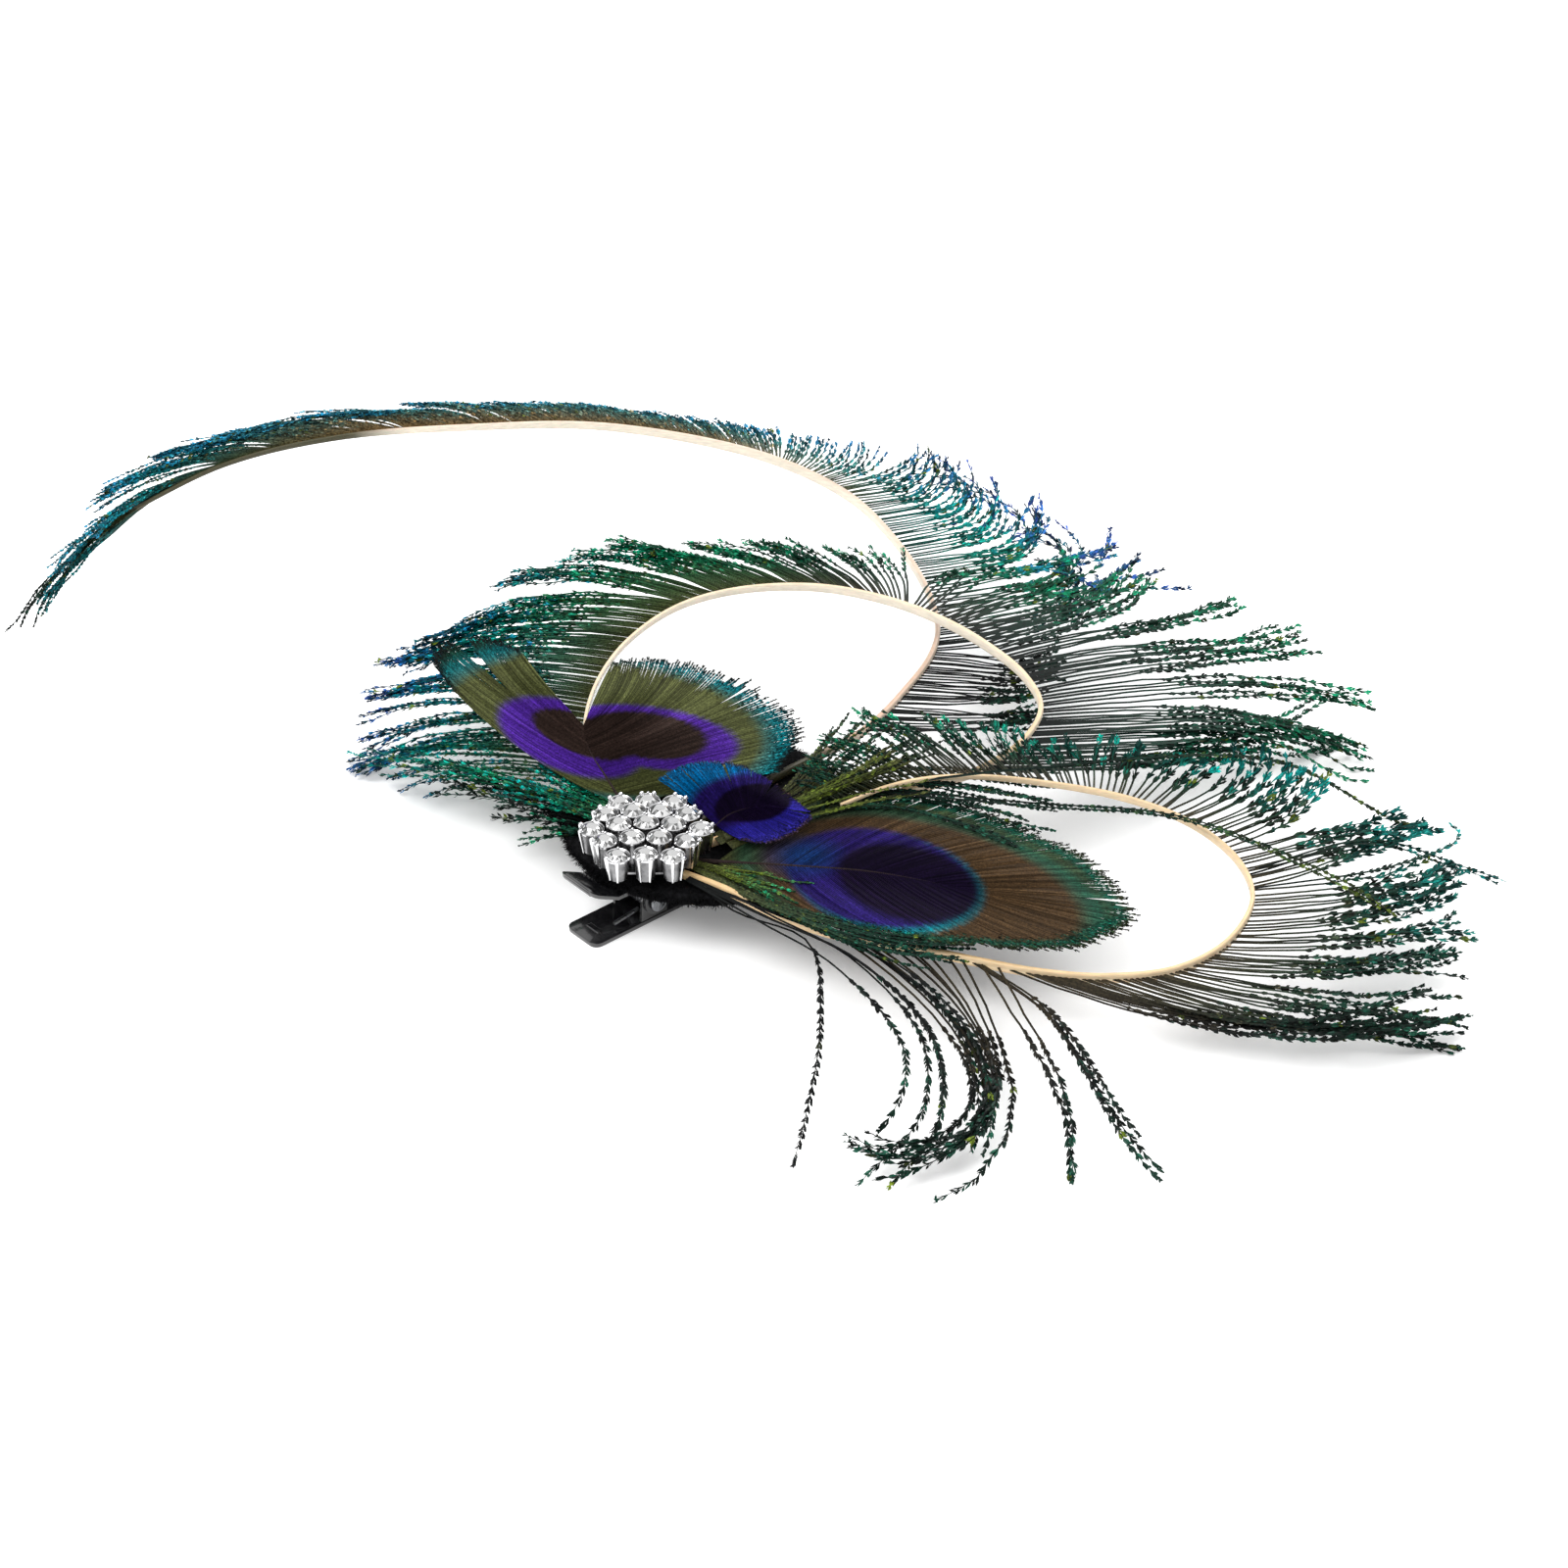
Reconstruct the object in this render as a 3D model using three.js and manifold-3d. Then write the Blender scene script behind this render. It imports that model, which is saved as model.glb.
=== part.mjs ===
// Peacock feather fascinator on a sprung hair clip. A felt disc glued to the clip carries three
// curled sword feathers, three trimmed eye feathers and a cluster brooch of nineteen cut stones.
// Millimetres, +Z up. The clip's lower arm and the lowest barbs stand on z = 0, and the origin is
// on the lower arm's underside, straight below the hinge pin.
import * as THREE from "three";
import { mergeVertices } from "three/addons/utils/BufferGeometryUtils.js";
import Module from "manifold-3d";

const wasm = await Module();
wasm.setup();

// Driving dimensions
const GAP = 0.3;

const CLIP_TURN = THREE.MathUtils.degToRad(41);
const SHEET_METAL = 0.8;
const LOWER_ARM = { handle: -13.6, tip: 31, width: 8.4, corner: 1.6, cornerSteps: 3 };
const UPPER_ARM = { handle: -14, bend: -8.6, jaw: 22, tip: 31, width: 9.8, top: 9.5, handleTop: 12.3 };
const EAR = { thickness: 0.6, halfLength: 3, radius: 2.6, lowerInset: 0.2, roundSteps: 6 };
const PIN = { height: 4.6, radius: 1, clearance: 0.1, sides: 16 };
const PIN_HEAD = { radius: 1.8, thickness: 0.6, sink: 0.05 };
const COIL = { innerRadius: 1.4, outerRadius: 2.1, length: 5.4, turns: 6, sides: 8 };
const SPRING_LEG = { width: 0.8, length: 8, tilt: 0.13 };

const FELT = { x: 12, y: 13, radius: 26, thickness: 2, softEdge: 0.5, sides: 32 };
const FELT_BOTTOM = UPPER_ARM.top + GAP;
const FELT_TOP = FELT_BOTTOM + FELT.thickness;

const BROOCH = { x: 1.5, y: -2, lift: 2.2, plate: 1, pitch: 4.75, dome: 1.5, outerFrom: 1.5 };
const STONE_ROWS = [3, 4, 5, 4, 3];
const BROOCH_FOOT = FELT_TOP + BROOCH.lift;
const COLLET = { height: 4.9, footRadius: 1.6, rimRadius: 2.28, wall: 0.2, sides: 8 };
const SEAT = { depth: 2.6, radius: 0.5 };
const STONE = { radius: 1.8, table: 1.05, crown: 0.7, girdle: 0.2, pavilion: 1.5, facets: 8, sink: 0.2 };
const CLAW = { width: 0.5, length: 5.5, lean: 0.26, perStone: 2, spread: 1, sides: 4 };

const QUILL = { tallBase: 1.6, tallMiddle: 2, tallTip: 0.7, thickBase: 1.2, thickTip: 0.6 };
const QUILL_MESH = { sides: 6, steps: 31 };
const BACKING = { thick: 0.8, tall: 0.8, steps: 26 };
const LOCK = { count: 20, share: 0.74, narrowest: 0.8, widest: 5.5, slender: 0.13, open: 0.5, hold: 0.45 };
const LOCK_SECTIONS = [
  { at: 0, width: 0.25, thick: 0.8 },
  { at: 0.35, width: 1, thick: 1.2 },
  { at: 0.75, width: 0.9, thick: 1 },
  { at: 1, width: 0.2, thick: 0.5 },
];
const EYE = { thickness: 0.9, teeth: 6, notch: 0.88, columns: 3, open: 0.35 };
const SHAFT = { radius: 0.8, tipRadius: 0.55, steps: 8, sides: 5 };
const LENGTH_SAMPLES = 400;

// Quill line (x, y, z) and barb tips of each curled feather, base first. Rows without a tip are bare quill.
// A lock's lean is how far its middle is drawn along the quill, as a share of its length.
const LONG_SWORD = [
  { x: 5.6, y: 3, z: 12.9 },
  { x: 22, y: 21, z: 12.9 },
  { x: 40, y: 37, z: 13.5, tipX: 70, tipY: 44, tipZ: 9 },
  { x: 48, y: 50, z: 14, tipX: 77, tipY: 51, tipZ: 11 },
  { x: 53, y: 61, z: 14.5, tipX: 82, tipY: 61, tipZ: 12 },
  { x: 54.5, y: 70.5, z: 15, tipX: 99, tipY: 90, tipZ: 14 },
  { x: 52.5, y: 81.5, z: 17, tipX: 92, tipY: 93, tipZ: 19 },
  { x: 47, y: 93.5, z: 20, tipX: 77, tipY: 98, tipZ: 24 },
  { x: 38, y: 104, z: 24, tipX: 58, tipY: 104, tipZ: 29 },
  { x: 21.5, y: 109, z: 30, tipX: 19, tipY: 115, tipZ: 34 },
  { x: -8.5, y: 110, z: 36, tipX: -20, tipY: 114, tipZ: 39 },
  { x: -35, y: 104.5, z: 39, tipX: -54, tipY: 105, tipZ: 42.5 },
  { x: -60.5, y: 98.5, z: 40, tipX: -88, tipY: 92.5, tipZ: 43 },
  { x: -80.5, y: 92, z: 38, tipX: -106, tipY: 72, tipZ: 37 },
  { x: -98, y: 81, z: 34, tipX: -114, tipY: 53, tipZ: 24 },
];
const UPPER_CURL = [
  { x: 7.9, y: -0.6, z: 12.9 },
  { x: 22, y: 7.5, z: 12.9 },
  { x: 53, y: 20, z: 13.5 },
  { x: 61, y: 23, z: 14.5, tipX: 112, tipY: 40, tipZ: 5 },
  { x: 69, y: 29.5, z: 16.5, tipX: 136, tipY: 59, tipZ: 0.6 },
  { x: 72.3, y: 38, z: 18, tipX: 133, tipY: 57, tipZ: 8 },
  { x: 69.5, y: 45.5, z: 20, tipX: 125, tipY: 65, tipZ: 14 },
  { x: 62.5, y: 54, z: 21.5, tipX: 101, tipY: 73, tipZ: 21 },
  { x: 54.5, y: 61, z: 22.5, tipX: 77, tipY: 77, tipZ: 23 },
  { x: 44, y: 67.5, z: 23, tipX: 33, tipY: 85.5, tipZ: 25 },
  { x: 31, y: 71, z: 23.5, tipX: 7, tipY: 87, tipZ: 25 },
  { x: 16.3, y: 70.5, z: 23, tipX: -14, tipY: 87, tipZ: 24 },
  { x: 5.3, y: 66, z: 22, tipX: -38, tipY: 72, tipZ: 21 },
  { x: -3.6, y: 57.3, z: 20, tipX: -51, tipY: 62, tipZ: 13 },
  { x: -8.7, y: 47, z: 18, tipX: -52, tipY: 57.5, tipZ: 10 },
  { x: -10.7, y: 36, z: 16, tipX: -56, tipY: 53, tipZ: 3 },
  { x: -9.8, y: 26, z: 14.5, tipX: -56, tipY: 48.5, tipZ: 0.8 },
  { x: -7.5, y: 19.8, z: 13.5, tipX: -40, tipY: 33, tipZ: 3 },
];
const RIGHT_CURL = [
  { x: 6.1, y: -6.2, z: 12.9 },
  { x: 15.5, y: -12.4, z: 13 },
  { x: 22, y: -16.4, z: 11.8 },
  { x: 34, y: -21.5, z: 10.2, tipX: 40, tipY: -75, tipZ: 0.6, lean: 0.6 },
  { x: 47, y: -24.5, z: 9.7, tipX: 54, tipY: -84, tipZ: 0.6, lean: 0.42 },
  { x: 59, y: -28.4, z: 9.3, tipX: 91.5, tipY: -79, tipZ: 0.6, lean: 0.1 },
  { x: 70, y: -31.3, z: 9, tipX: 113, tipY: -46, tipZ: 0.6 },
  { x: 80.5, y: -32.5, z: 9, tipX: 143.5, tipY: -41.5, tipZ: 0.6 },
  { x: 92, y: -31, z: 9.5, tipX: 145.5, tipY: -32, tipZ: 3 },
  { x: 101, y: -25, z: 10.5, tipX: 148, tipY: -14.5, tipZ: 7 },
  { x: 106.5, y: -14.3, z: 12, tipX: 145.5, tipY: -2.5, tipZ: 12 },
  { x: 105, y: -4, z: 13, tipX: 136, tipY: 5.3, tipZ: 16 },
  { x: 98, y: 5, z: 14.5, tipX: 117.5, tipY: 13.3, tipZ: 20 },
  { x: 86.3, y: 11.4, z: 16, tipX: 92, tipY: 22, tipZ: 21 },
  { x: 69, y: 14, z: 18, tipX: 60, tipY: 26, tipZ: 22 },
  { x: 57.7, y: 14, z: 19, tipX: 41.5, tipY: 34, tipZ: 22 },
  { x: 49.8, y: 12.3, z: 19.5, tipX: 33, tipY: 27, tipZ: 22 },
  { x: 43.7, y: 10.7, z: 19, tipX: 28, tipY: 20.5, tipZ: 21 },
  { x: 35.5, y: 6.5, z: 18, tipX: 27, tipY: 13, tipZ: 19 },
];

// Shaft (x, y, z) of each eye feather, base first, with the barb tips on its left and right edge.
const LEFT_EYE = [
  { x: 1, y: 4.5, z: 12.9 },
  { x: -3, y: 12, z: 14.2, leftX: -37, leftY: 45, leftZ: 20.5, rightX: 25.5, rightY: 20, rightZ: 16.5 },
  { x: -6.5, y: 19, z: 15.8, leftX: -39, leftY: 50, leftZ: 21.2, rightX: 29, rightY: 31, rightZ: 18.5 },
  { x: -9, y: 24, z: 16.8, leftX: -37, leftY: 54.5, leftZ: 21.8, rightX: 18.5, rightY: 44.5, rightZ: 19.6 },
  { x: -10.2, y: 28, z: 17.4, leftX: -31, leftY: 55.8, leftZ: 22.2, rightX: 5, rightY: 51.5, rightZ: 20 },
  { x: -10.8, y: 32, z: 17.9, leftX: -25, leftY: 52.5, leftZ: 22.3, rightX: -5.8, rightY: 51.5, rightZ: 20 },
];
const MIDDLE_EYE = [
  { x: 7.3, y: 0.9, z: 12.9 },
  { x: 11, y: 3.8, z: 12.9 },
  { x: 13.6, y: 5.2, z: 14.6, leftX: 3, leftY: 14.5, leftZ: 18.5, rightX: 18, rightY: -2, rightZ: 16.5 },
  { x: 16, y: 5.6, z: 16.6, leftX: 8.5, leftY: 17, leftZ: 20, rightX: 22.3, rightY: -3.4, rightZ: 16.9 },
  { x: 19.5, y: 5.4, z: 18.1, leftX: 19, leftY: 13.5, leftZ: 21.2, rightX: 27, rightY: -1.2, rightZ: 17.6 },
  { x: 22.5, y: 4.8, z: 19, leftX: 30.2, leftY: 2, leftZ: 20.2, rightX: 30.6, rightY: 0.4, rightZ: 19.4 },
];
const RIGHT_EYE = [
  { x: 7.9, y: -3.4, z: 12.9 },
  { x: 14, y: -5, z: 13.8, leftX: 33, leftY: 12, leftZ: 16, rightX: 28, rightY: -18, rightZ: 12.6 },
  { x: 28, y: -8, z: 15, leftX: 52, leftY: 12.5, leftZ: 16, rightX: 46, rightY: -26, rightZ: 12.6 },
  { x: 40, y: -10, z: 15.3, leftX: 69, leftY: 4, leftZ: 15, rightX: 63, rightY: -29, rightZ: 12.4 },
  { x: 50, y: -12.5, z: 15, leftX: 81, leftY: -6, leftZ: 13.8, rightX: 78, rightY: -28, rightZ: 12.2 },
  { x: 58, y: -15, z: 14.5, leftX: 87, leftY: -19, leftZ: 12.9, rightX: 86.4, rightY: -22.6, rightZ: 12.2 },
];

// Finishes
const lacquer = new THREE.MeshStandardMaterial({ color: 0x0b0b0d, roughness: 0.2, metalness: 0.3 });
const steel = new THREE.MeshStandardMaterial({ color: 0x6d6f73, roughness: 0.35, metalness: 1 });
const felt = new THREE.MeshStandardMaterial({ color: 0x0d0d0e, roughness: 0.95 });
const ivory = new THREE.MeshStandardMaterial({ color: 0xe9d8bb, roughness: 0.45 });
const herlGreen = new THREE.MeshStandardMaterial({ color: 0x14392f, roughness: 0.5, metalness: 0.2 });
const eyeViolet = new THREE.MeshStandardMaterial({ color: 0x2b2270, roughness: 0.45, metalness: 0.2 });
const silver = new THREE.MeshStandardMaterial({ color: 0xd4d5d8, roughness: 0.15, metalness: 1 });
const crystal = new THREE.MeshStandardMaterial({ color: 0xf4f6f8, roughness: 0.02, metalness: 0.1 });

const UP = new THREE.Vector3(0, 0, 1);
const fascinator = new THREE.Group();

// Small helpers for bodies, booleans and nodes
function point(row, x = "x", y = "y", z = "z") {
  return new THREE.Vector3(row[x], row[y], row[z]);
}

function smoothLine(points) {
  return new THREE.CatmullRomCurve3(points, false, "centripetal");
}

function bodyFrom(points, faces) {
  const geometry = new THREE.BufferGeometry();
  geometry.setAttribute("position", new THREE.Float32BufferAttribute(points.flatMap((p) => p.toArray()), 3));
  geometry.setIndex(faces);
  return geometry;
}

// A closed body through rings of points that turn anticlockwise about the way they advance.
function loft(rings) {
  const sides = rings[0].length;
  const last = (rings.length - 1) * sides;
  const faces = [];
  for (let ring = 0; ring + 1 < rings.length; ring++) {
    for (let side = 0; side < sides; side++) {
      const near = ring * sides + side;
      const beside = ring * sides + ((side + 1) % sides);
      faces.push(near, beside, beside + sides, near, beside + sides, near + sides);
    }
  }
  for (let side = 1; side + 1 < sides; side++) {
    faces.push(0, side + 1, side, last, last + side, last + side + 1);
  }
  return bodyFrom(rings.flat(), faces);
}

// A closed slab of one thickness over a grid of points.
function slab(grid, thickness) {
  const rows = grid.length;
  const columns = grid[0].length;
  const lower = rows * columns;
  const half = thickness / 2;
  const flat = grid.flat();
  const points = [
    ...flat.map((p) => p.clone().addScaledVector(UP, half)),
    ...flat.map((p) => p.clone().addScaledVector(UP, -half)),
  ];
  const faces = [];
  const wall = (a, b) => faces.push(a, a + lower, b + lower, a, b + lower, b);
  for (let row = 0; row + 1 < rows; row++) {
    for (let column = 0; column + 1 < columns; column++) {
      const a = row * columns + column;
      const b = a + 1;
      const c = a + columns;
      const d = c + 1;
      faces.push(a, b, d, a, d, c, a + lower, d + lower, b + lower, a + lower, c + lower, d + lower);
    }
  }
  for (let row = 0; row + 1 < rows; row++) {
    wall((row + 1) * columns, row * columns);
    wall(row * columns + columns - 1, (row + 1) * columns + columns - 1);
  }
  for (let column = 0; column + 1 < columns; column++) {
    wall(column, column + 1);
    wall((rows - 1) * columns + column + 1, (rows - 1) * columns + column);
  }
  return bodyFrom(points, faces);
}

function solid(geometry) {
  const bare = geometry.clone();
  bare.deleteAttribute("normal");
  bare.deleteAttribute("uv");
  const merged = mergeVertices(bare, 1e-4);
  return new wasm.Manifold(new wasm.Mesh({
    numProp: 3,
    vertProperties: new Float32Array(merged.attributes.position.array),
    triVerts: new Uint32Array(merged.index.array),
  }));
}

function geometryOf(body) {
  const mesh = body.getMesh();
  const geometry = new THREE.BufferGeometry();
  geometry.setAttribute("position", new THREE.BufferAttribute(mesh.vertProperties, 3));
  geometry.setIndex(new THREE.BufferAttribute(mesh.triVerts, 1));
  geometry.computeVertexNormals();
  return geometry;
}

function join(geometries) {
  return geometries.map(solid).reduce((whole, next) => whole.add(next));
}

function addNode(parent, name, geometry, material) {
  const mesh = new THREE.Mesh(geometry, material);
  mesh.name = name;
  parent.add(mesh);
  return mesh;
}

// Clip: two pressed arms on a pin. Its own x runs from the handles to the jaws, y along the pin.
function plateProfile(topLine, thickness) {
  const outline = new THREE.Shape();
  topLine.forEach(([x, z], index) => (index ? outline.lineTo(x, z) : outline.moveTo(x, z)));
  [...topLine].reverse().forEach(([x, z]) => outline.lineTo(x, z - thickness));
  return outline;
}

// A side profile in x and z, drawn out along y about the clip's middle.
function acrossClip(profile, width, middle = 0) {
  const curveSegments = EAR.roundSteps;
  const geometry = new THREE.ExtrudeGeometry(profile, { depth: width, bevelEnabled: false, curveSegments });
  geometry.rotateX(Math.PI / 2);
  geometry.translate(0, middle + width / 2, 0);
  return geometry;
}

function roundedPlate(start, end, width, corner, thickness) {
  const half = width / 2;
  const outline = new THREE.Shape();
  outline.moveTo(start + corner, -half);
  outline.lineTo(end - corner, -half);
  outline.absarc(end - corner, corner - half, corner, -Math.PI / 2, 0);
  outline.absarc(end - corner, half - corner, corner, 0, Math.PI / 2);
  outline.absarc(start + corner, half - corner, corner, Math.PI / 2, Math.PI);
  outline.absarc(start + corner, corner - half, corner, Math.PI, 1.5 * Math.PI);
  const curveSegments = LOWER_ARM.cornerSteps;
  return new THREE.ExtrudeGeometry(outline, { depth: thickness, bevelEnabled: false, curveSegments });
}

function pinCylinder(radius, length, middle = 0) {
  const geometry = new THREE.CylinderGeometry(radius, radius, length, PIN.sides);
  geometry.translate(0, middle, 0);
  geometry.rotateX(Math.PI);
  geometry.translate(0, 0, PIN.height);
  return geometry;
}

// A lug round the pin hole, its foot running into the arm between z values.
function earProfile(footHeight) {
  const outline = new THREE.Shape();
  const below = footHeight < PIN.height;
  const turn = below ? 0 : Math.PI;
  outline.moveTo(below ? -EAR.halfLength : EAR.halfLength, footHeight);
  outline.lineTo(below ? EAR.halfLength : -EAR.halfLength, footHeight);
  outline.absarc(0, PIN.height, EAR.radius, turn, turn + Math.PI);
  return outline;
}

function addEars(arm, footHeight, outerFace) {
  const middle = outerFace - EAR.thickness / 2;
  const pair = [-middle, middle].map((side) => acrossClip(earProfile(footHeight), EAR.thickness, side));
  const hole = solid(pinCylinder(PIN.radius + PIN.clearance, 2 * UPPER_ARM.width));
  return arm.add(join(pair)).subtract(hole);
}

const clip = new THREE.Group();
clip.rotation.z = CLIP_TURN;
fascinator.add(clip);

const upperLine = [
  [UPPER_ARM.handle, UPPER_ARM.handleTop],
  [UPPER_ARM.bend, UPPER_ARM.top],
  [UPPER_ARM.jaw, UPPER_ARM.top],
  [UPPER_ARM.tip, 2 * SHEET_METAL + GAP],
];
const upperPlate = solid(acrossClip(plateProfile(upperLine, SHEET_METAL), UPPER_ARM.width));
const upperEars = addEars(upperPlate, UPPER_ARM.top - SHEET_METAL / 2, UPPER_ARM.width / 2);
addNode(clip, "clip_upper_arm", geometryOf(upperEars), lacquer);

const lowerPlate = solid(
  roundedPlate(LOWER_ARM.handle, LOWER_ARM.tip, LOWER_ARM.width, LOWER_ARM.corner, SHEET_METAL),
);
const lowerEars = addEars(lowerPlate, SHEET_METAL / 2, LOWER_ARM.width / 2 - EAR.lowerInset);
addNode(clip, "clip_lower_arm", geometryOf(lowerEars), lacquer);

const shankLength = UPPER_ARM.width + 2 * GAP;
const headMiddle = shankLength / 2 + PIN_HEAD.thickness / 2 - PIN_HEAD.sink;
const pin = join([
  pinCylinder(PIN.radius, shankLength),
  pinCylinder(PIN_HEAD.radius, PIN_HEAD.thickness, headMiddle),
  pinCylinder(PIN_HEAD.radius, PIN_HEAD.thickness, -headMiddle),
]);
addNode(clip, "clip_pin", geometryOf(pin), steel);

// The coil is a ribbed sleeve, one rib for each turn of wire, with a straight leg under the upper arm.
function coilSleeve() {
  const wire = COIL.length / COIL.turns;
  const groove = (COIL.innerRadius + COIL.outerRadius) / 2;
  const profile = [new THREE.Vector2(COIL.innerRadius, 0)];
  for (let turn = 0; turn < COIL.turns; turn++) {
    profile.push(new THREE.Vector2(groove, turn * wire));
    profile.push(new THREE.Vector2(COIL.outerRadius, (turn + 0.5) * wire));
  }
  profile.push(new THREE.Vector2(groove, COIL.length));
  profile.push(new THREE.Vector2(COIL.innerRadius, COIL.length));
  profile.push(new THREE.Vector2(COIL.innerRadius, 0));
  const geometry = new THREE.LatheGeometry(profile, COIL.sides);
  geometry.translate(0, -COIL.length / 2, PIN.height);
  return geometry;
}

function springLeg(rise, side) {
  const { width, length, tilt } = SPRING_LEG;
  const geometry = new THREE.BoxGeometry(length, width, width);
  const start = COIL.outerRadius - width / 2;
  geometry.translate(-length / 2, (side * (COIL.length - width)) / 2, rise * start);
  geometry.rotateY(rise * tilt);
  geometry.translate(0, 0, PIN.height);
  return geometry;
}

const coil = join([coilSleeve(), springLeg(1, 1)]);
addNode(clip, "clip_spring", geometryOf(coil), steel);

const sleeveCut = solid(pinCylinder(COIL.outerRadius + GAP, 2 * COIL.length));
const freeLeg = solid(springLeg(-1, -1)).subtract(sleeveCut);
addNode(clip, "clip_spring_leg", geometryOf(freeLeg), steel);

// Felt: a round disc with soft edges
const feltProfile = [
  new THREE.Vector2(0, 0),
  new THREE.Vector2(FELT.radius - FELT.softEdge, 0),
  new THREE.Vector2(FELT.radius, FELT.softEdge),
  new THREE.Vector2(FELT.radius, FELT.thickness - FELT.softEdge),
  new THREE.Vector2(FELT.radius - FELT.softEdge, FELT.thickness),
  new THREE.Vector2(0, FELT.thickness),
];
const feltDisc = new THREE.LatheGeometry(feltProfile, FELT.sides);
feltDisc.rotateX(Math.PI / 2);
feltDisc.translate(FELT.x, FELT.y, FELT_BOTTOM);
addNode(fascinator, "felt_base", feltDisc, felt);

// Sword feathers: a flat ivory quill, and a vane of locks fused to a backing along its outer side
function frameAt(curve, t) {
  const along = curve.getTangent(t);
  const side = new THREE.Vector3().crossVectors(along, UP).normalize();
  const up = new THREE.Vector3().crossVectors(side, along);
  return { at: curve.getPoint(t), along, side, up };
}

function ringAt(centre, up, side, tall, thick, sides) {
  return Array.from({ length: sides }, (_, corner) => {
    const angle = (2 * Math.PI * corner) / sides;
    return centre.clone()
      .addScaledVector(up, (tall / 2) * Math.cos(angle))
      .addScaledVector(side, (thick / 2) * Math.sin(angle));
  });
}

function quillSize(reach) {
  const { tallBase, tallMiddle, tallTip, thickBase, thickTip } = QUILL;
  const { lerp } = THREE.MathUtils;
  const swell = 2 * reach;
  const tall = swell < 1 ? lerp(tallBase, tallMiddle, swell) : lerp(tallMiddle, tallTip, swell - 1);
  return { tall, thick: lerp(thickBase, thickTip, reach) };
}

function quillBody(quill) {
  const rings = [];
  for (let step = 0; step <= QUILL_MESH.steps; step++) {
    const reach = step / QUILL_MESH.steps;
    const { at, up, side } = frameAt(quill, quill.getUtoTmapping(reach));
    const { tall, thick } = quillSize(reach);
    rings.push(ringAt(at, up, side, tall, thick, QUILL_MESH.sides));
  }
  return loft(rings);
}

function backingPoint(quill, reach) {
  const frame = frameAt(quill, quill.getUtoTmapping(reach));
  const offset = quillSize(reach).thick / 2 + GAP + BACKING.thick / 2;
  return { ...frame, at: frame.at.addScaledVector(frame.side, offset) };
}

function between(values, place) {
  const index = Math.min(Math.floor(place), values.length - 2);
  return THREE.MathUtils.lerp(values[index], values[index + 1], place - index);
}

function swordVane(rows, quill) {
  const first = rows.findIndex((row) => "tipX" in row);
  const tips = smoothLine(rows.slice(first).map((row) => point(row, "tipX", "tipY", "tipZ")));
  const firstT = first / (rows.length - 1);
  const lengths = quill.getLengths(LENGTH_SAMPLES);
  const firstReach = lengths[Math.round(firstT * LENGTH_SAMPLES)] / lengths[LENGTH_SAMPLES];
  const reachAt = (share) => firstReach + (1 - firstReach) * share;
  const leans = rows.map((row) => row.lean ?? 0);

  const backing = [];
  for (let step = 0; step <= BACKING.steps; step++) {
    const { at, up, side } = backingPoint(quill, reachAt(step / BACKING.steps));
    backing.push(ringAt(at, up, side, BACKING.tall, BACKING.thick, 4));
  }

  const barbs = [];
  for (let index = 0; index < LOCK.count; index++) {
    const reach = reachAt((index + 0.5) / LOCK.count);
    const t = quill.getUtoTmapping(reach);
    const { at, along, side } = backingPoint(quill, reach);
    const tip = tips.getPoint((t - firstT) / (1 - firstT));
    const chord = tip.clone().sub(at);
    const length = chord.length();
    const leave = chord.clone().setZ(0).normalize().addScaledVector(side, LOCK.open).normalize();
    const lean = length * between(leans, t * (rows.length - 1));
    const middle = at.clone().addScaledVector(leave, length * LOCK.hold).addScaledVector(along, lean);
    barbs.push({ path: new THREE.QuadraticBezierCurve3(at, middle, tip), along, length });
  }

  const locks = barbs.map((barb, index) => {
    const neighbour = barbs[index + 1 < LOCK.count ? index + 1 : index - 1];
    return loft(LOCK_SECTIONS.map(({ at, width, thick }) => {
      const centre = barb.path.getPoint(at);
      const ahead = barb.path.getTangent(at);
      const across = barb.along.clone().addScaledVector(ahead, -ahead.dot(barb.along)).normalize();
      const normal = new THREE.Vector3().crossVectors(ahead, across);
      const room = Math.abs(neighbour.path.getPoint(at).sub(centre).dot(across)) * LOCK.share;
      const widest = Math.min(LOCK.widest, Math.max(LOCK.narrowest, barb.length * LOCK.slender));
      const wide = THREE.MathUtils.clamp(room, LOCK.narrowest, widest) * width;
      return ringAt(centre, across, normal, wide, thick, 4);
    }));
  });
  return join([loft(backing), ...locks]);
}

function addSwordFeather(name, rows) {
  const quill = smoothLine(rows.map((row) => point(row)));
  addNode(fascinator, `${name}_quill`, quillBody(quill), ivory);
  addNode(fascinator, `${name}_vane`, geometryOf(swordVane(rows, quill)), herlGreen);
}

addSwordFeather("long_sword", LONG_SWORD);
addSwordFeather("upper_curl", UPPER_CURL);
addSwordFeather("right_curl", RIGHT_CURL);

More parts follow.
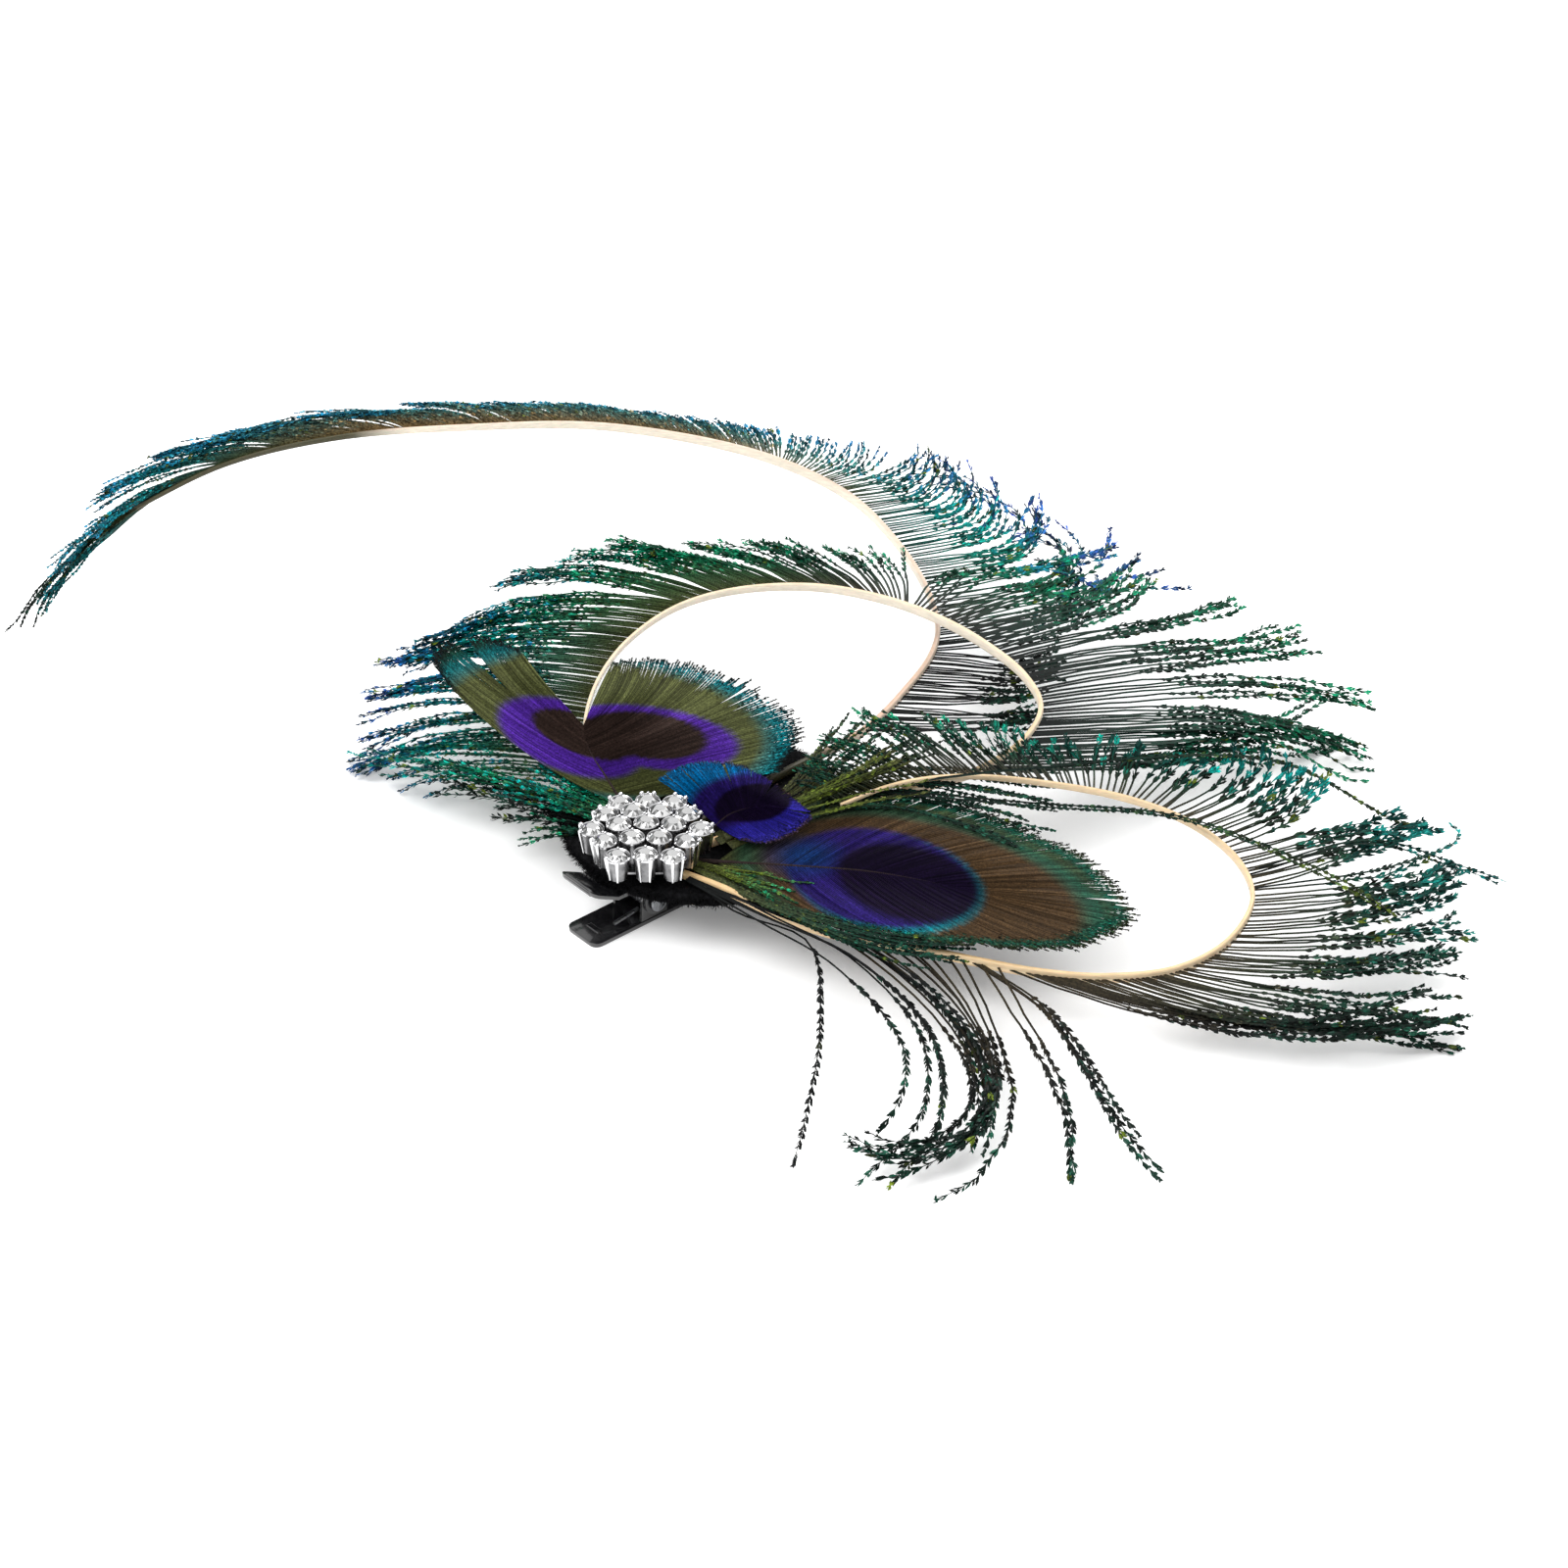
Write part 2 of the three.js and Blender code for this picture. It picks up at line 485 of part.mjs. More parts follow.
// Eye feathers: a thin shaft with a toothed half vane on each side
function halfVane(rows, shaft, edge) {
  const first = rows.findIndex((row) => `${edge}X` in row);
  const tips = smoothLine(rows.slice(first).map((row) => point(row, `${edge}X`, `${edge}Y`, `${edge}Z`)));
  const hand = edge === "right" ? 1 : -1;
  const firstT = first / (rows.length - 1);
  const grid = [];
  for (let step = 0; step <= 2 * EYE.teeth; step++) {
    const station = step / (2 * EYE.teeth);
    const { at, side } = frameAt(shaft, firstT + (1 - firstT) * station);
    const tip = tips.getPoint(station);
    const chord = tip.clone().sub(at);
    const open = hand * EYE.open * (1 - station * station);
    const leave = chord.clone().normalize().addScaledVector(side, open).normalize();
    const middle = at.clone().addScaledVector(leave, chord.length() * LOCK.hold);
    const path = new THREE.QuadraticBezierCurve3(at, middle, tip);
    const reach = step % 2 ? EYE.notch : 1;
    const columns = Array.from({ length: EYE.columns + 1 }, (_, column) => (reach * column) / EYE.columns);
    grid.push(columns.map((share) => path.getPoint(share)));
  }
  return slab(hand > 0 ? grid : grid.reverse(), EYE.thickness);
}

function addEyeFeather(name, rows) {
  const shaft = smoothLine(rows.map((row) => point(row)));
  const rings = [];
  for (let step = 0; step <= SHAFT.steps; step++) {
    const share = step / SHAFT.steps;
    const { at, up, side } = frameAt(shaft, share);
    const size = 2 * THREE.MathUtils.lerp(SHAFT.radius, SHAFT.tipRadius, share);
    rings.push(ringAt(at, up, side, size, size, SHAFT.sides));
  }
  const feather = join([loft(rings), halfVane(rows, shaft, "left"), halfVane(rows, shaft, "right")]);
  addNode(fascinator, name, geometryOf(feather), eyeViolet);
}

addEyeFeather("left_eye_feather", LEFT_EYE);
addEyeFeather("middle_eye_feather", MIDDLE_EYE);
addEyeFeather("right_eye_feather", RIGHT_EYE);

// Brooch: claw collets on a plate, in staggered rows that rise to the middle, with a stone in each
function stonePlaces() {
  const rowPitch = (BROOCH.pitch * Math.sqrt(3)) / 2;
  const middleRow = (STONE_ROWS.length - 1) / 2;
  const reach = middleRow * BROOCH.pitch;
  return STONE_ROWS.flatMap((count, row) => Array.from({ length: count }, (_, index) => {
    const x = (index - (count - 1) / 2) * BROOCH.pitch;
    const y = (middleRow - row) * rowPitch;
    const share = Math.min(1, Math.hypot(x, y) / reach);
    const outer = Math.hypot(x, y) > BROOCH.outerFrom * BROOCH.pitch;
    return { x, y, rise: BROOCH.dome * (1 - share * share), outer };
  }));
}

function lathedUpright(profile, sides) {
  const geometry = new THREE.LatheGeometry(profile.map(([radius, z]) => new THREE.Vector2(radius, z)), sides);
  geometry.rotateX(Math.PI / 2);
  return geometry;
}

function colletGeometry({ x, y, rise }) {
  const top = COLLET.height + rise;
  const geometry = lathedUpright([
    [0, 0],
    [COLLET.footRadius, 0],
    [COLLET.rimRadius, top],
    [COLLET.rimRadius - COLLET.wall, top],
    [SEAT.radius, top - SEAT.depth],
    [0, top - SEAT.depth],
  ], COLLET.sides);
  geometry.translate(x, y, 0);
  return geometry;
}

// Claws stand on the outward side of the outer stones and lean out with the collet.
function clawGeometries({ x, y, outer }) {
  if (!outer) return [];
  const outward = Math.atan2(y, x);
  return Array.from({ length: CLAW.perStone }, (_, index) => {
    const angle = outward + (index - (CLAW.perStone - 1) / 2) * CLAW.spread;
    const geometry = new THREE.CylinderGeometry(CLAW.width / 2, CLAW.width / 2, CLAW.length, CLAW.sides);
    geometry.rotateX(Math.PI / 2);
    geometry.translate(0, 0, CLAW.length / 2);
    geometry.rotateY(Math.atan2(COLLET.rimRadius - COLLET.footRadius, COLLET.height));
    geometry.translate(COLLET.footRadius - CLAW.lean / 2, 0, 0);
    geometry.rotateZ(angle);
    geometry.translate(x, y, BROOCH.plate / 2);
    return geometry;
  });
}

function plateGeometry() {
  const corner = 2 * BROOCH.pitch + COLLET.footRadius / 2;
  const outline = new THREE.Shape();
  for (let index = 0; index < 6; index++) {
    const angle = (index * Math.PI) / 3;
    const place = [corner * Math.cos(angle), corner * Math.sin(angle)];
    if (index) outline.lineTo(...place);
    else outline.moveTo(...place);
  }
  return new THREE.ExtrudeGeometry(outline, { depth: BROOCH.plate, bevelEnabled: false });
}

function stoneGeometry() {
  return lathedUpright([
    [0, -STONE.girdle - STONE.pavilion],
    [STONE.radius, -STONE.girdle],
    [STONE.radius, 0],
    [STONE.table, STONE.crown],
    [0, STONE.crown],
  ], STONE.facets);
}

const brooch = new THREE.Group();
brooch.position.set(BROOCH.x, BROOCH.y, BROOCH_FOOT);
fascinator.add(brooch);

const places = stonePlaces();
const setting = join([plateGeometry(), ...places.map(colletGeometry), ...places.flatMap(clawGeometries)]);
addNode(brooch, "brooch_setting", geometryOf(setting), silver);
places.forEach(({ x, y, rise }, index) => {
  const name = `stone_${String(index + 1).padStart(2, "0")}`;
  const stone = addNode(brooch, name, stoneGeometry(), crystal);
  stone.position.set(x, y, COLLET.height + rise - STONE.sink);
});

export default fascinator;
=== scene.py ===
import math
from types import SimpleNamespace as Sizes

import bmesh
import bpy
import numpy as np
from mathutils import Matrix, Vector


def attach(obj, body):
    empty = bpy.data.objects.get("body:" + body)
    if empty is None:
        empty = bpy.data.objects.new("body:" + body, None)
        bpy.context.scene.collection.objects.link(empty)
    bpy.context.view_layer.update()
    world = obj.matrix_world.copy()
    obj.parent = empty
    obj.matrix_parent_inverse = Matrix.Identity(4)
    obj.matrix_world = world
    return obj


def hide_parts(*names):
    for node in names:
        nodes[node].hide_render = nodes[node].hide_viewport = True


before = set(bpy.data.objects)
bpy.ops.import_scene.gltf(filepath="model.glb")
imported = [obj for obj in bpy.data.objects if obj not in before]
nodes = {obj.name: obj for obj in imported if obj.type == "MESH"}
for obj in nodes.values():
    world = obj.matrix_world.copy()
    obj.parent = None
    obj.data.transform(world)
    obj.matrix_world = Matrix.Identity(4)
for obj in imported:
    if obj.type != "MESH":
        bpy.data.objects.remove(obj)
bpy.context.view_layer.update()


# Clip arms: two pressed steel arms of a sprung hair clip, dipped in gloss black lacquer.
# Each is the solid's own form with its cut edges rolled over. The upper handle ends in a rolled lip, and
# the lower one has a stamped thumb rib. Sizes are in millimetres, the clip's own x running to its tips.
MM = 0.001
CLIP_TURN = Matrix.Rotation(math.radians(41), 4, "Z")
ARM_EDGE = 0.18
THUMB_RIB = Sizes(at=-10.4, length=1.3, width=3.4, height=0.5, plate_top=0.8, edge=0.22)
HANDLE_CORNER = 1.3
HANDLE_FROM = -13.0
LIP = Sizes(at=-13.5, height=11.7, radius=0.62, length=7.4, edge=0.3)
NOISE_BAND = (0.35, 0.65)


def add_node(tree, kind, **values):
    """A shader node with the values of its inputs, whose names have underscores for spaces."""
    node = tree.nodes.new("ShaderNode" + kind)
    for name, value in values.items():
        node.inputs[name.replace("_", " ")].default_value = value
    return node


def link(source, output, target, socket):
    source.id_data.links.new(source.outputs[output], target.inputs[socket])


def add_noise(tree, scale, detail=4.0, stretch=(1, 1, 1)):
    mapping = add_node(tree, "Mapping", Scale=stretch)
    noise = add_node(tree, "TexNoise", Scale=scale, Detail=detail)
    link(add_node(tree, "TexCoord"), "Object", mapping, "Vector")
    link(mapping, "Vector", noise, "Vector")
    return noise


def finish_material(name, sockets, noise, rough=None):
    """A material with its shader and a noise of scale, detail and stretch, which its roughness may follow."""
    material = bpy.data.materials.new(name)
    material.use_nodes = True
    tree = material.node_tree
    shader = tree.nodes["Principled BSDF"]
    for socket, value in sockets.items():
        shader.inputs[socket].default_value = value
    speckle = add_noise(tree, *noise)
    if rough:
        span = add_node(tree, "MapRange", To_Min=rough[0], To_Max=rough[1])
        link(speckle, "Fac", span, "Value")
        link(span, "Result", shader, "Roughness")
    return material, shader, speckle


def mottled_material(name, sockets, noise, low, high, rough=None, grain=None):
    """A finish whose colour lies between two. A grain has a noise of its own, a depth and a strength."""
    material, shader, speckle = finish_material(name, sockets, noise, rough)
    tree = material.node_tree
    ramp = add_node(tree, "ValToRGB")
    for stop, place, colour in zip(ramp.color_ramp.elements, NOISE_BAND, (low, high)):
        stop.position = place
        stop.color = (*colour, 1)
    link(speckle, "Fac", ramp, "Fac")
    link(ramp, "Color", shader, "Base Color")
    if grain:
        bump = add_node(tree, "Bump", Distance=grain[1], Strength=grain[2])
        link(add_noise(tree, *grain[0]), "Fac", bump, "Height")
        link(bump, "Normal", shader, "Normal")
    return material


def rolled(shape, edges, radius, segments, **options):
    return bmesh.ops.bevel(
        shape, geom=edges, offset=radius * MM, segments=segments, profile=0.5, affect="EDGES", material=-1,
        **options,
    )


def cone(shape, place, length, foot, head, segments):
    return bmesh.ops.create_cone(
        shape, cap_ends=True, segments=segments, radius1=foot * MM, radius2=head * MM, depth=length * MM,
        matrix=place,
    )["verts"]


def placed(mesh, name, material, body, node):
    """The mesh as a piece that rides on a body, fills a slot and replaces a node, if it has one."""
    mesh.materials.append(material)
    piece = bpy.data.objects.new(name, mesh)
    bpy.context.scene.collection.objects.link(piece)
    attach(piece, body)
    if node:
        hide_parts(node)
    return piece


def piece_from(shape, name, material, body, node, smooth_below=40):
    mesh = bpy.data.meshes.new(name)
    shape.to_mesh(mesh)
    shape.free()
    mesh.shade_smooth()
    mesh.set_sharp_from_angle(angle=math.radians(smooth_below))
    return placed(mesh, name, material, body, node)


def rolled_edges(node, radius, corners_before=None):
    """The solid's form with rolled edges. Upright corners before a place on the clip are rounded first."""
    shape = bmesh.new()
    shape.from_mesh(nodes[node].data)
    bmesh.ops.remove_doubles(shape, verts=shape.verts, dist=1e-6)
    bmesh.ops.dissolve_limit(shape, angle_limit=math.radians(1), verts=shape.verts, edges=shape.edges)
    if corners_before is not None:
        places = {vert: CLIP_TURN.inverted() @ vert.co for vert in shape.verts}
        corners = [
            edge for edge in shape.edges
            if max(places[vert].x for vert in edge.verts) < corners_before * MM
            and abs(places[edge.verts[0]].y - places[edge.verts[1]].y) < 1e-6
        ]
        rolled(shape, corners, HANDLE_CORNER, 4)
    sharp = [edge for edge in shape.edges if edge.calc_face_angle(0) > math.radians(50)]
    rolled(shape, sharp, radius, 2, clamp_overlap=True)
    return shape


def edges_of(verts):
    return list({edge for vert in verts for edge in vert.link_edges})


lacquer = mottled_material(
    "black_lacquer", {"Coat Weight": 1.0, "Coat Roughness": 0.06, "Specular IOR Level": 0.6}, (900,),
    (0.004, 0.004, 0.005), (0.012, 0.012, 0.013), rough=(0.16, 0.3), grain=((350,), 0.00002, 0.25),
)

upper_shape = rolled_edges("clip_upper_arm", ARM_EDGE, HANDLE_FROM)
lip_place = CLIP_TURN @ Matrix.Translation((LIP.at * MM, 0, LIP.height * MM))
lip_place = lip_place @ Matrix.Rotation(math.pi / 2, 4, "X")
lip = cone(upper_shape, lip_place, LIP.length, LIP.radius, LIP.radius, 16)
rolled(upper_shape, [edge for edge in edges_of(lip) if edge.calc_face_angle(0) > 1], LIP.edge, 3)
piece_from(upper_shape, "upper_arm", lacquer, "headpiece", "clip_upper_arm")

lower_shape = rolled_edges("clip_lower_arm", ARM_EDGE)
rib = bmesh.ops.create_cube(lower_shape, size=1.0)["verts"]
rib_size = (THUMB_RIB.length * MM, THUMB_RIB.width * MM, THUMB_RIB.height * MM)
rib_place = CLIP_TURN @ Matrix.Translation((THUMB_RIB.at * MM, 0, THUMB_RIB.plate_top * MM))
bmesh.ops.scale(lower_shape, vec=rib_size, verts=rib)
rib_round = rolled(lower_shape, edges_of(rib), THUMB_RIB.edge, 3)
rib_verts = {vert for face in rib_round["faces"] for vert in face.verts} | {v for v in rib if v.is_valid}
bmesh.ops.transform(lower_shape, matrix=rib_place, verts=list(rib_verts))
piece_from(lower_shape, "lower_arm", lacquer, "jaw", "clip_lower_arm")


# Pin and spring: a bright steel rivet through both pairs of ears, and a wire torsion spring wound on it.
# One wire leg presses under the upper arm, the other swings with the lower arm.
COIL = Sizes(radius=1.75, wire=0.35, turns=6, length=5.4, steps=18)
PIN_HEIGHT = 4.6
PIN_EDGE = 0.2
SPRING_LEG = Sizes(length=8.0, radius=0.38, tilt=0.13, offset=1.7, side=2.3, free_from=2.5)

# The steel's colour is darker than bright wire: painted shade, for the pin and spring sit in the shade
# between the arms.
steel = mottled_material(
    "steel_darkened_as_shade", {"Metallic": 1.0}, (700, 4.0, (1, 6, 1)), (0.2, 0.21, 0.22), (0.36, 0.37, 0.39),
    rough=(0.2, 0.42),
)

piece_from(rolled_edges("clip_pin", PIN_EDGE), "pin", steel, "headpiece", "clip_pin")


def wire_leg(shape, rise, side, start):
    """A straight leg over or under the pin, to one side of it, from a start along the wire on."""
    length = SPRING_LEG.length - start
    middle = Vector((-(start + length / 2), side * SPRING_LEG.side, rise * SPRING_LEG.offset))
    tilt = Matrix.Rotation(rise * SPRING_LEG.tilt, 4, "Y")
    lying = Matrix.Rotation(math.pi / 2, 4, "Y")
    pin_place = CLIP_TURN @ Matrix.Translation((0, 0, PIN_HEIGHT * MM))
    place = pin_place @ tilt @ Matrix.Translation(middle * MM) @ lying
    cone(shape, place, length, SPRING_LEG.radius, SPRING_LEG.radius, 10)


coil_shape = bmesh.new()
wire_start = CLIP_TURN @ Matrix.Translation((COIL.radius * MM, -COIL.length / 2 * MM, PIN_HEIGHT * MM))
ring = bmesh.ops.create_circle(
    coil_shape, cap_ends=False, radius=COIL.wire * MM, segments=8, matrix=wire_start
)["verts"]
coil_axis = CLIP_TURN @ Vector((0, 1, 0))
coil_steps = COIL.turns * COIL.steps
bmesh.ops.spin(
    coil_shape,
    geom=ring + edges_of(ring),
    cent=(0, 0, PIN_HEIGHT * MM),
    axis=coil_axis,
    dvec=coil_axis * ((COIL.length - 2 * COIL.wire) * MM / coil_steps),
    angle=2 * math.pi * COIL.turns,
    steps=coil_steps,
    use_duplicate=False,
)
bmesh.ops.holes_fill(coil_shape, edges=[edge for edge in coil_shape.edges if edge.is_boundary])
wire_leg(coil_shape, 1, 1, 0)
bmesh.ops.recalc_face_normals(coil_shape, faces=coil_shape.faces)
piece_from(coil_shape, "spring_coil", steel, "headpiece", "clip_spring")

leg_shape = bmesh.new()
wire_leg(leg_shape, -1, -1, SPRING_LEG.free_from)
piece_from(leg_shape, "spring_leg", steel, "jaw", "clip_spring_leg")


# Felt base: a round of black wool felt cut with scissors and glued on the upper arm.
# Its cut edge is uneven and loose fibres stand out of the edge and the top face.
FELT = Sizes(
    x=12.0, y=13.0, radius=26.0, bottom=9.8, top=11.8, sides=120, ragged=0.18, trimmed=-0.1, edge=0.4,
)
FIBRES = Sizes(
    edge=7500, face=5000, short=0.4, long=1.7, width=0.07, thick=0.05, lift=0.35, tangle=0.55,
    on_face=0.45, bare_middle=0.3, edge_depth=0.2, edge_foot=0.3, face_depth=0.1,
)
SLIVER_WIDEST = 0.55
UPWARD = np.array([0.0, 0.0, 1.0])


def sizes(vectors):
    return np.linalg.norm(vectors, axis=-1, keepdims=True)


def unit(vectors):
    return vectors / np.maximum(sizes(vectors), 1e-12)


def array_piece(name, points, triangles, material, node=None, tint=None):
    mesh = bpy.data.meshes.new(name)
    mesh.vertices.add(len(points))
    mesh.vertices.foreach_set("co", (points * MM).astype(np.float32).ravel())
    mesh.loops.add(triangles.size)
    mesh.loops.foreach_set("vertex_index", triangles.astype(np.int32).ravel())
    mesh.polygons.add(len(triangles))
    mesh.polygons.foreach_set("loop_start", np.arange(0, triangles.size, 3, dtype=np.int32))
    mesh.update(calc_edges=True)
    mesh.shade_smooth()
    mesh.set_sharp_from_angle(angle=math.radians(50))
    if tint is not None:
        colours = np.column_stack([tint, np.ones(len(tint))]).astype(np.float32)
        layer = mesh.color_attributes.new("tint", "FLOAT_COLOR", "POINT")
        layer.data.foreach_set("color", colours.ravel())
    return placed(mesh, name, material, "headpiece", node)


def slivers(root, tip, across, wide, thick):
    """Closed four-faced slivers from root to tip, as wide as given along across."""
    length = tip - root
    wing = unit(across - length * (across * length).sum(1, keepdims=True) / (length**2).sum(1, keepdims=True))
    lift = unit(np.cross(length, wing)) * np.reshape(thick, (-1, 1))
    middle = root + SLIVER_WIDEST * length
    wing = wing * np.reshape(wide, (-1, 1))
    points = np.stack([root, tip, middle + wing + lift, middle - wing + lift], axis=1)
    first = 4 * np.arange(len(root))[:, None, None]
    triangles = first + np.array([[0, 2, 1], [0, 1, 3], [0, 3, 2], [1, 2, 3]])
    return points.reshape(-1, 3), triangles.reshape(-1, 3)


felt = mottled_material(
    "black_felt", {"Roughness": 1.0, "Specular IOR Level": 0.1}, (1400, 8), (0.001, 0.001, 0.0012),
    (0.007, 0.007, 0.008), grain=((1400, 8), 0.0004, 0.9),
)

rng = np.random.default_rng(11)
felt_shape = bmesh.new()
felt_middle = Matrix.Translation((FELT.x * MM, FELT.y * MM, FELT.bottom * MM))
bmesh.ops.create_circle(
    felt_shape, cap_ends=True, radius=FELT.radius * MM, segments=FELT.sides, matrix=felt_middle
)
for vert in felt_shape.verts:
    outward = (vert.co - felt_middle.translation).normalized()
    vert.co += outward * float(rng.normal(FELT.trimmed, FELT.ragged)) * MM
felt_top = bmesh.ops.extrude_face_region(felt_shape, geom=felt_shape.faces[:])
felt_lift = (0, 0, (FELT.top - FELT.bottom) * MM)
felt_raised = [part for part in felt_top["geom"] if isinstance(part, bmesh.types.BMVert)]
bmesh.ops.translate(felt_shape, vec=felt_lift, verts=felt_raised)
felt_rims = [edge for edge in felt_shape.edges if abs(edge.verts[0].co.z - edge.verts[1].co.z) < 1e-6]
rolled(felt_shape, felt_rims, FELT.edge, 3)
bmesh.ops.recalc_face_normals(felt_shape, faces=felt_shape.faces)
felt_disc = piece_from(felt_shape, "felt_disc", felt, "headpiece", "felt_base")

turn = rng.uniform(0, 2 * np.pi, FIBRES.edge + FIBRES.face)
from_edge = np.arange(len(turn)) < FIBRES.edge
on_face = np.sqrt(rng.uniform(FIBRES.bare_middle, 1, len(turn)))
radius = np.where(from_edge, FELT.radius - FIBRES.edge_depth, FELT.radius * on_face)
on_edge = rng.uniform(FELT.bottom + FIBRES.edge_foot, FELT.top, len(turn))
level = np.where(from_edge, on_edge, FELT.top - FIBRES.face_depth)
outward = np.column_stack([np.cos(turn), np.sin(turn), np.zeros(len(turn))])
fibre_root = outward * radius[:, None] + np.array([FELT.x, FELT.y, 0]) + UPWARD * level[:, None]
fibre_way = outward * from_edge[:, None] + UPWARD * FIBRES.lift * ~from_edge[:, None]
fibre_way = unit(fibre_way + rng.normal(0, FIBRES.tangle, (len(turn), 3)))
fibre_way[:, 2] = np.abs(fibre_way[:, 2]) * np.where(from_edge, rng.choice([-1, 1], len(turn)), 1)
fibre_length = rng.uniform(FIBRES.short, FIBRES.long, len(turn))
fibre_length = fibre_length * np.where(from_edge, 1, FIBRES.on_face)
fibre_tip = fibre_root + fibre_way * fibre_length[:, None]
fuzz_points, fuzz_faces = slivers(
    fibre_root, fibre_tip, rng.normal(size=(len(turn), 3)), FIBRES.width, FIBRES.thick
)
fuzz = array_piece("felt_fuzz", fuzz_points, fuzz_faces, felt)


# Sword feather quills: flat ivory strips on edge, split from the feather's shaft, scraped and curled.
# The base of each is glued on the felt under the brooch, and its barbs all stand on the outer side.
# Columns: quill x, y, z, barb tip x, y, z, gap between barbs, bare share, bead reach (mm) and any lean.
LONG_SWORD = [
    (5.6, 3, 12.9),
    (22, 21, 12.9),
    (40, 37, 13.5, 70, 44, 9, 0.85, 0.6, 0.5),
    (48, 50, 14, 77, 51, 11, 0.8, 0.55, 0.5),
    (53, 61, 14.5, 82, 61, 12, 0.8, 0.45, 0.55),
    (54.5, 70.5, 15, 99, 90, 14, 0.8, 0.35, 0.6),
    (52.5, 81.5, 17, 92, 93, 19, 0.75, 0.33, 0.6),
    (47, 93.5, 20, 77, 98, 24, 0.7, 0.33, 0.55),
    (38, 104, 24, 58, 104, 29, 0.6, 0.33, 0.5),
    (21.5, 109, 30, 19, 115, 34, 0.4, 0.24, 0.36),
    (-8.5, 110, 36, -20, 114, 39, 0.34, 0.12, 0.3),
    (-35, 104.5, 39, -54, 105, 42.5, 0.34, 0.08, 0.3),
    (-60.5, 98.5, 40, -88, 92.5, 43, 0.4, 0.1, 0.32),
    (-80.5, 92, 38, -106, 72, 37, 0.55, 0.2, 0.34),
    (-98, 81, 34, -114, 53, 24, 0.9, 0.45, 0.3),
]
UPPER_CURL = [
    (7.9, -0.6, 12.9),
    (22, 7.5, 12.9),
    (53, 20, 13.5),
    (61, 23, 14.5, 112, 40, 5, 0.8, 0.4, 0.6),
    (69, 29.5, 16.5, 136, 59, 0.6, 0.75, 0.38, 0.6),
    (72.3, 38, 18, 133, 57, 8, 0.75, 0.38, 0.6),
    (69.5, 45.5, 20, 125, 65, 14, 0.8, 0.4, 0.6),
    (62.5, 54, 21.5, 101, 73, 21, 0.85, 0.45, 0.6),
    (54.5, 61, 22.5, 77, 77, 23, 0.9, 0.6, 0.55),
    (44, 67.5, 23, 33, 85.5, 25, 0.7, 0.45, 0.5),
    (31, 71, 23.5, 7, 87, 25, 0.55, 0.3, 0.52),
    (16.3, 70.5, 23, -14, 87, 24, 0.5, 0.26, 0.54),
    (5.3, 66, 22, -38, 72, 21, 0.5, 0.24, 0.55),
    (-3.6, 57.3, 20, -51, 62, 13, 0.5, 0.22, 0.55),
    (-8.7, 47, 18, -52, 57.5, 10, 0.5, 0.22, 0.55),
    (-10.7, 36, 16, -56, 53, 3, 0.52, 0.22, 0.55),
    (-9.8, 26, 14.5, -56, 48.5, 0.8, 0.6, 0.22, 0.55),
    (-7.5, 19.8, 13.5, -40, 33, 3, 0.8, 0.22, 0.55),
]
RIGHT_CURL = [
    (6.1, -6.2, 12.9),
    (15.5, -12.4, 13),
    (22, -16.4, 11.8),
    (34, -21.5, 10.2, 38, -85, 0.6, 2.0, 0.38, 0.7, 0.6),
    (47, -24.5, 9.7, 53, -95, 0.6, 2.4, 0.38, 0.7, 0.42),
    (59, -28.4, 9.3, 92, -87, 0.6, 3.6, 0.36, 0.7, 0.1),
    (70, -31.3, 9, 113, -46, 0.6, 1.1, 0.32, 0.5),
    (80.5, -32.5, 9, 143.5, -41.5, 0.6, 1.0, 0.32, 0.5),
    (92, -31, 9.5, 145.5, -32, 3, 0.8, 0.34, 0.55),
    (101, -25, 10.5, 148, -14.5, 7, 0.9, 0.36, 0.7),
    (106.5, -14.3, 12, 145.5, -2.5, 12, 1.0, 0.36, 0.75),
    (105, -4, 13, 136, 5.3, 16, 1.0, 0.36, 0.8),
    (98, 5, 14.5, 117.5, 13.3, 20, 1.0, 0.36, 0.8),
    (86.3, 11.4, 16, 92, 22, 21, 1.0, 0.38, 0.7),
    (69, 14, 18, 60, 26, 22, 0.8, 0.38, 0.6),
    (57.7, 14, 19, 41.5, 34, 22, 0.7, 0.32, 0.4),
    (49.8, 12.3, 19.5, 33, 27, 22, 0.65, 0.28, 0.36),
    (43.7, 10.7, 19, 28, 20.5, 21, 0.65, 0.28, 0.34),
    (35.5, 6.5, 18, 27, 13, 19, 0.65, 0.28, 0.34),
]
QUILL = Sizes(
    tall=(1.6, 2.0, 0.7), thick=(1.2, 0.6), steps=170, sides=14, square=0.55, tan_at=(0, 0.15, 0.45),
    tan_foot=(0.8, 0.55, 0), tan_edge=0.6, stain_fade=0.04,
)
IVORY = (0.74, 0.58, 0.38)
CREAM = (0.86, 0.78, 0.65)
TAN = (0.6, 0.41, 0.2)
ROSE_TAN = (0.52, 0.35, 0.25)
STAIN = (0.05, 0.045, 0.018)


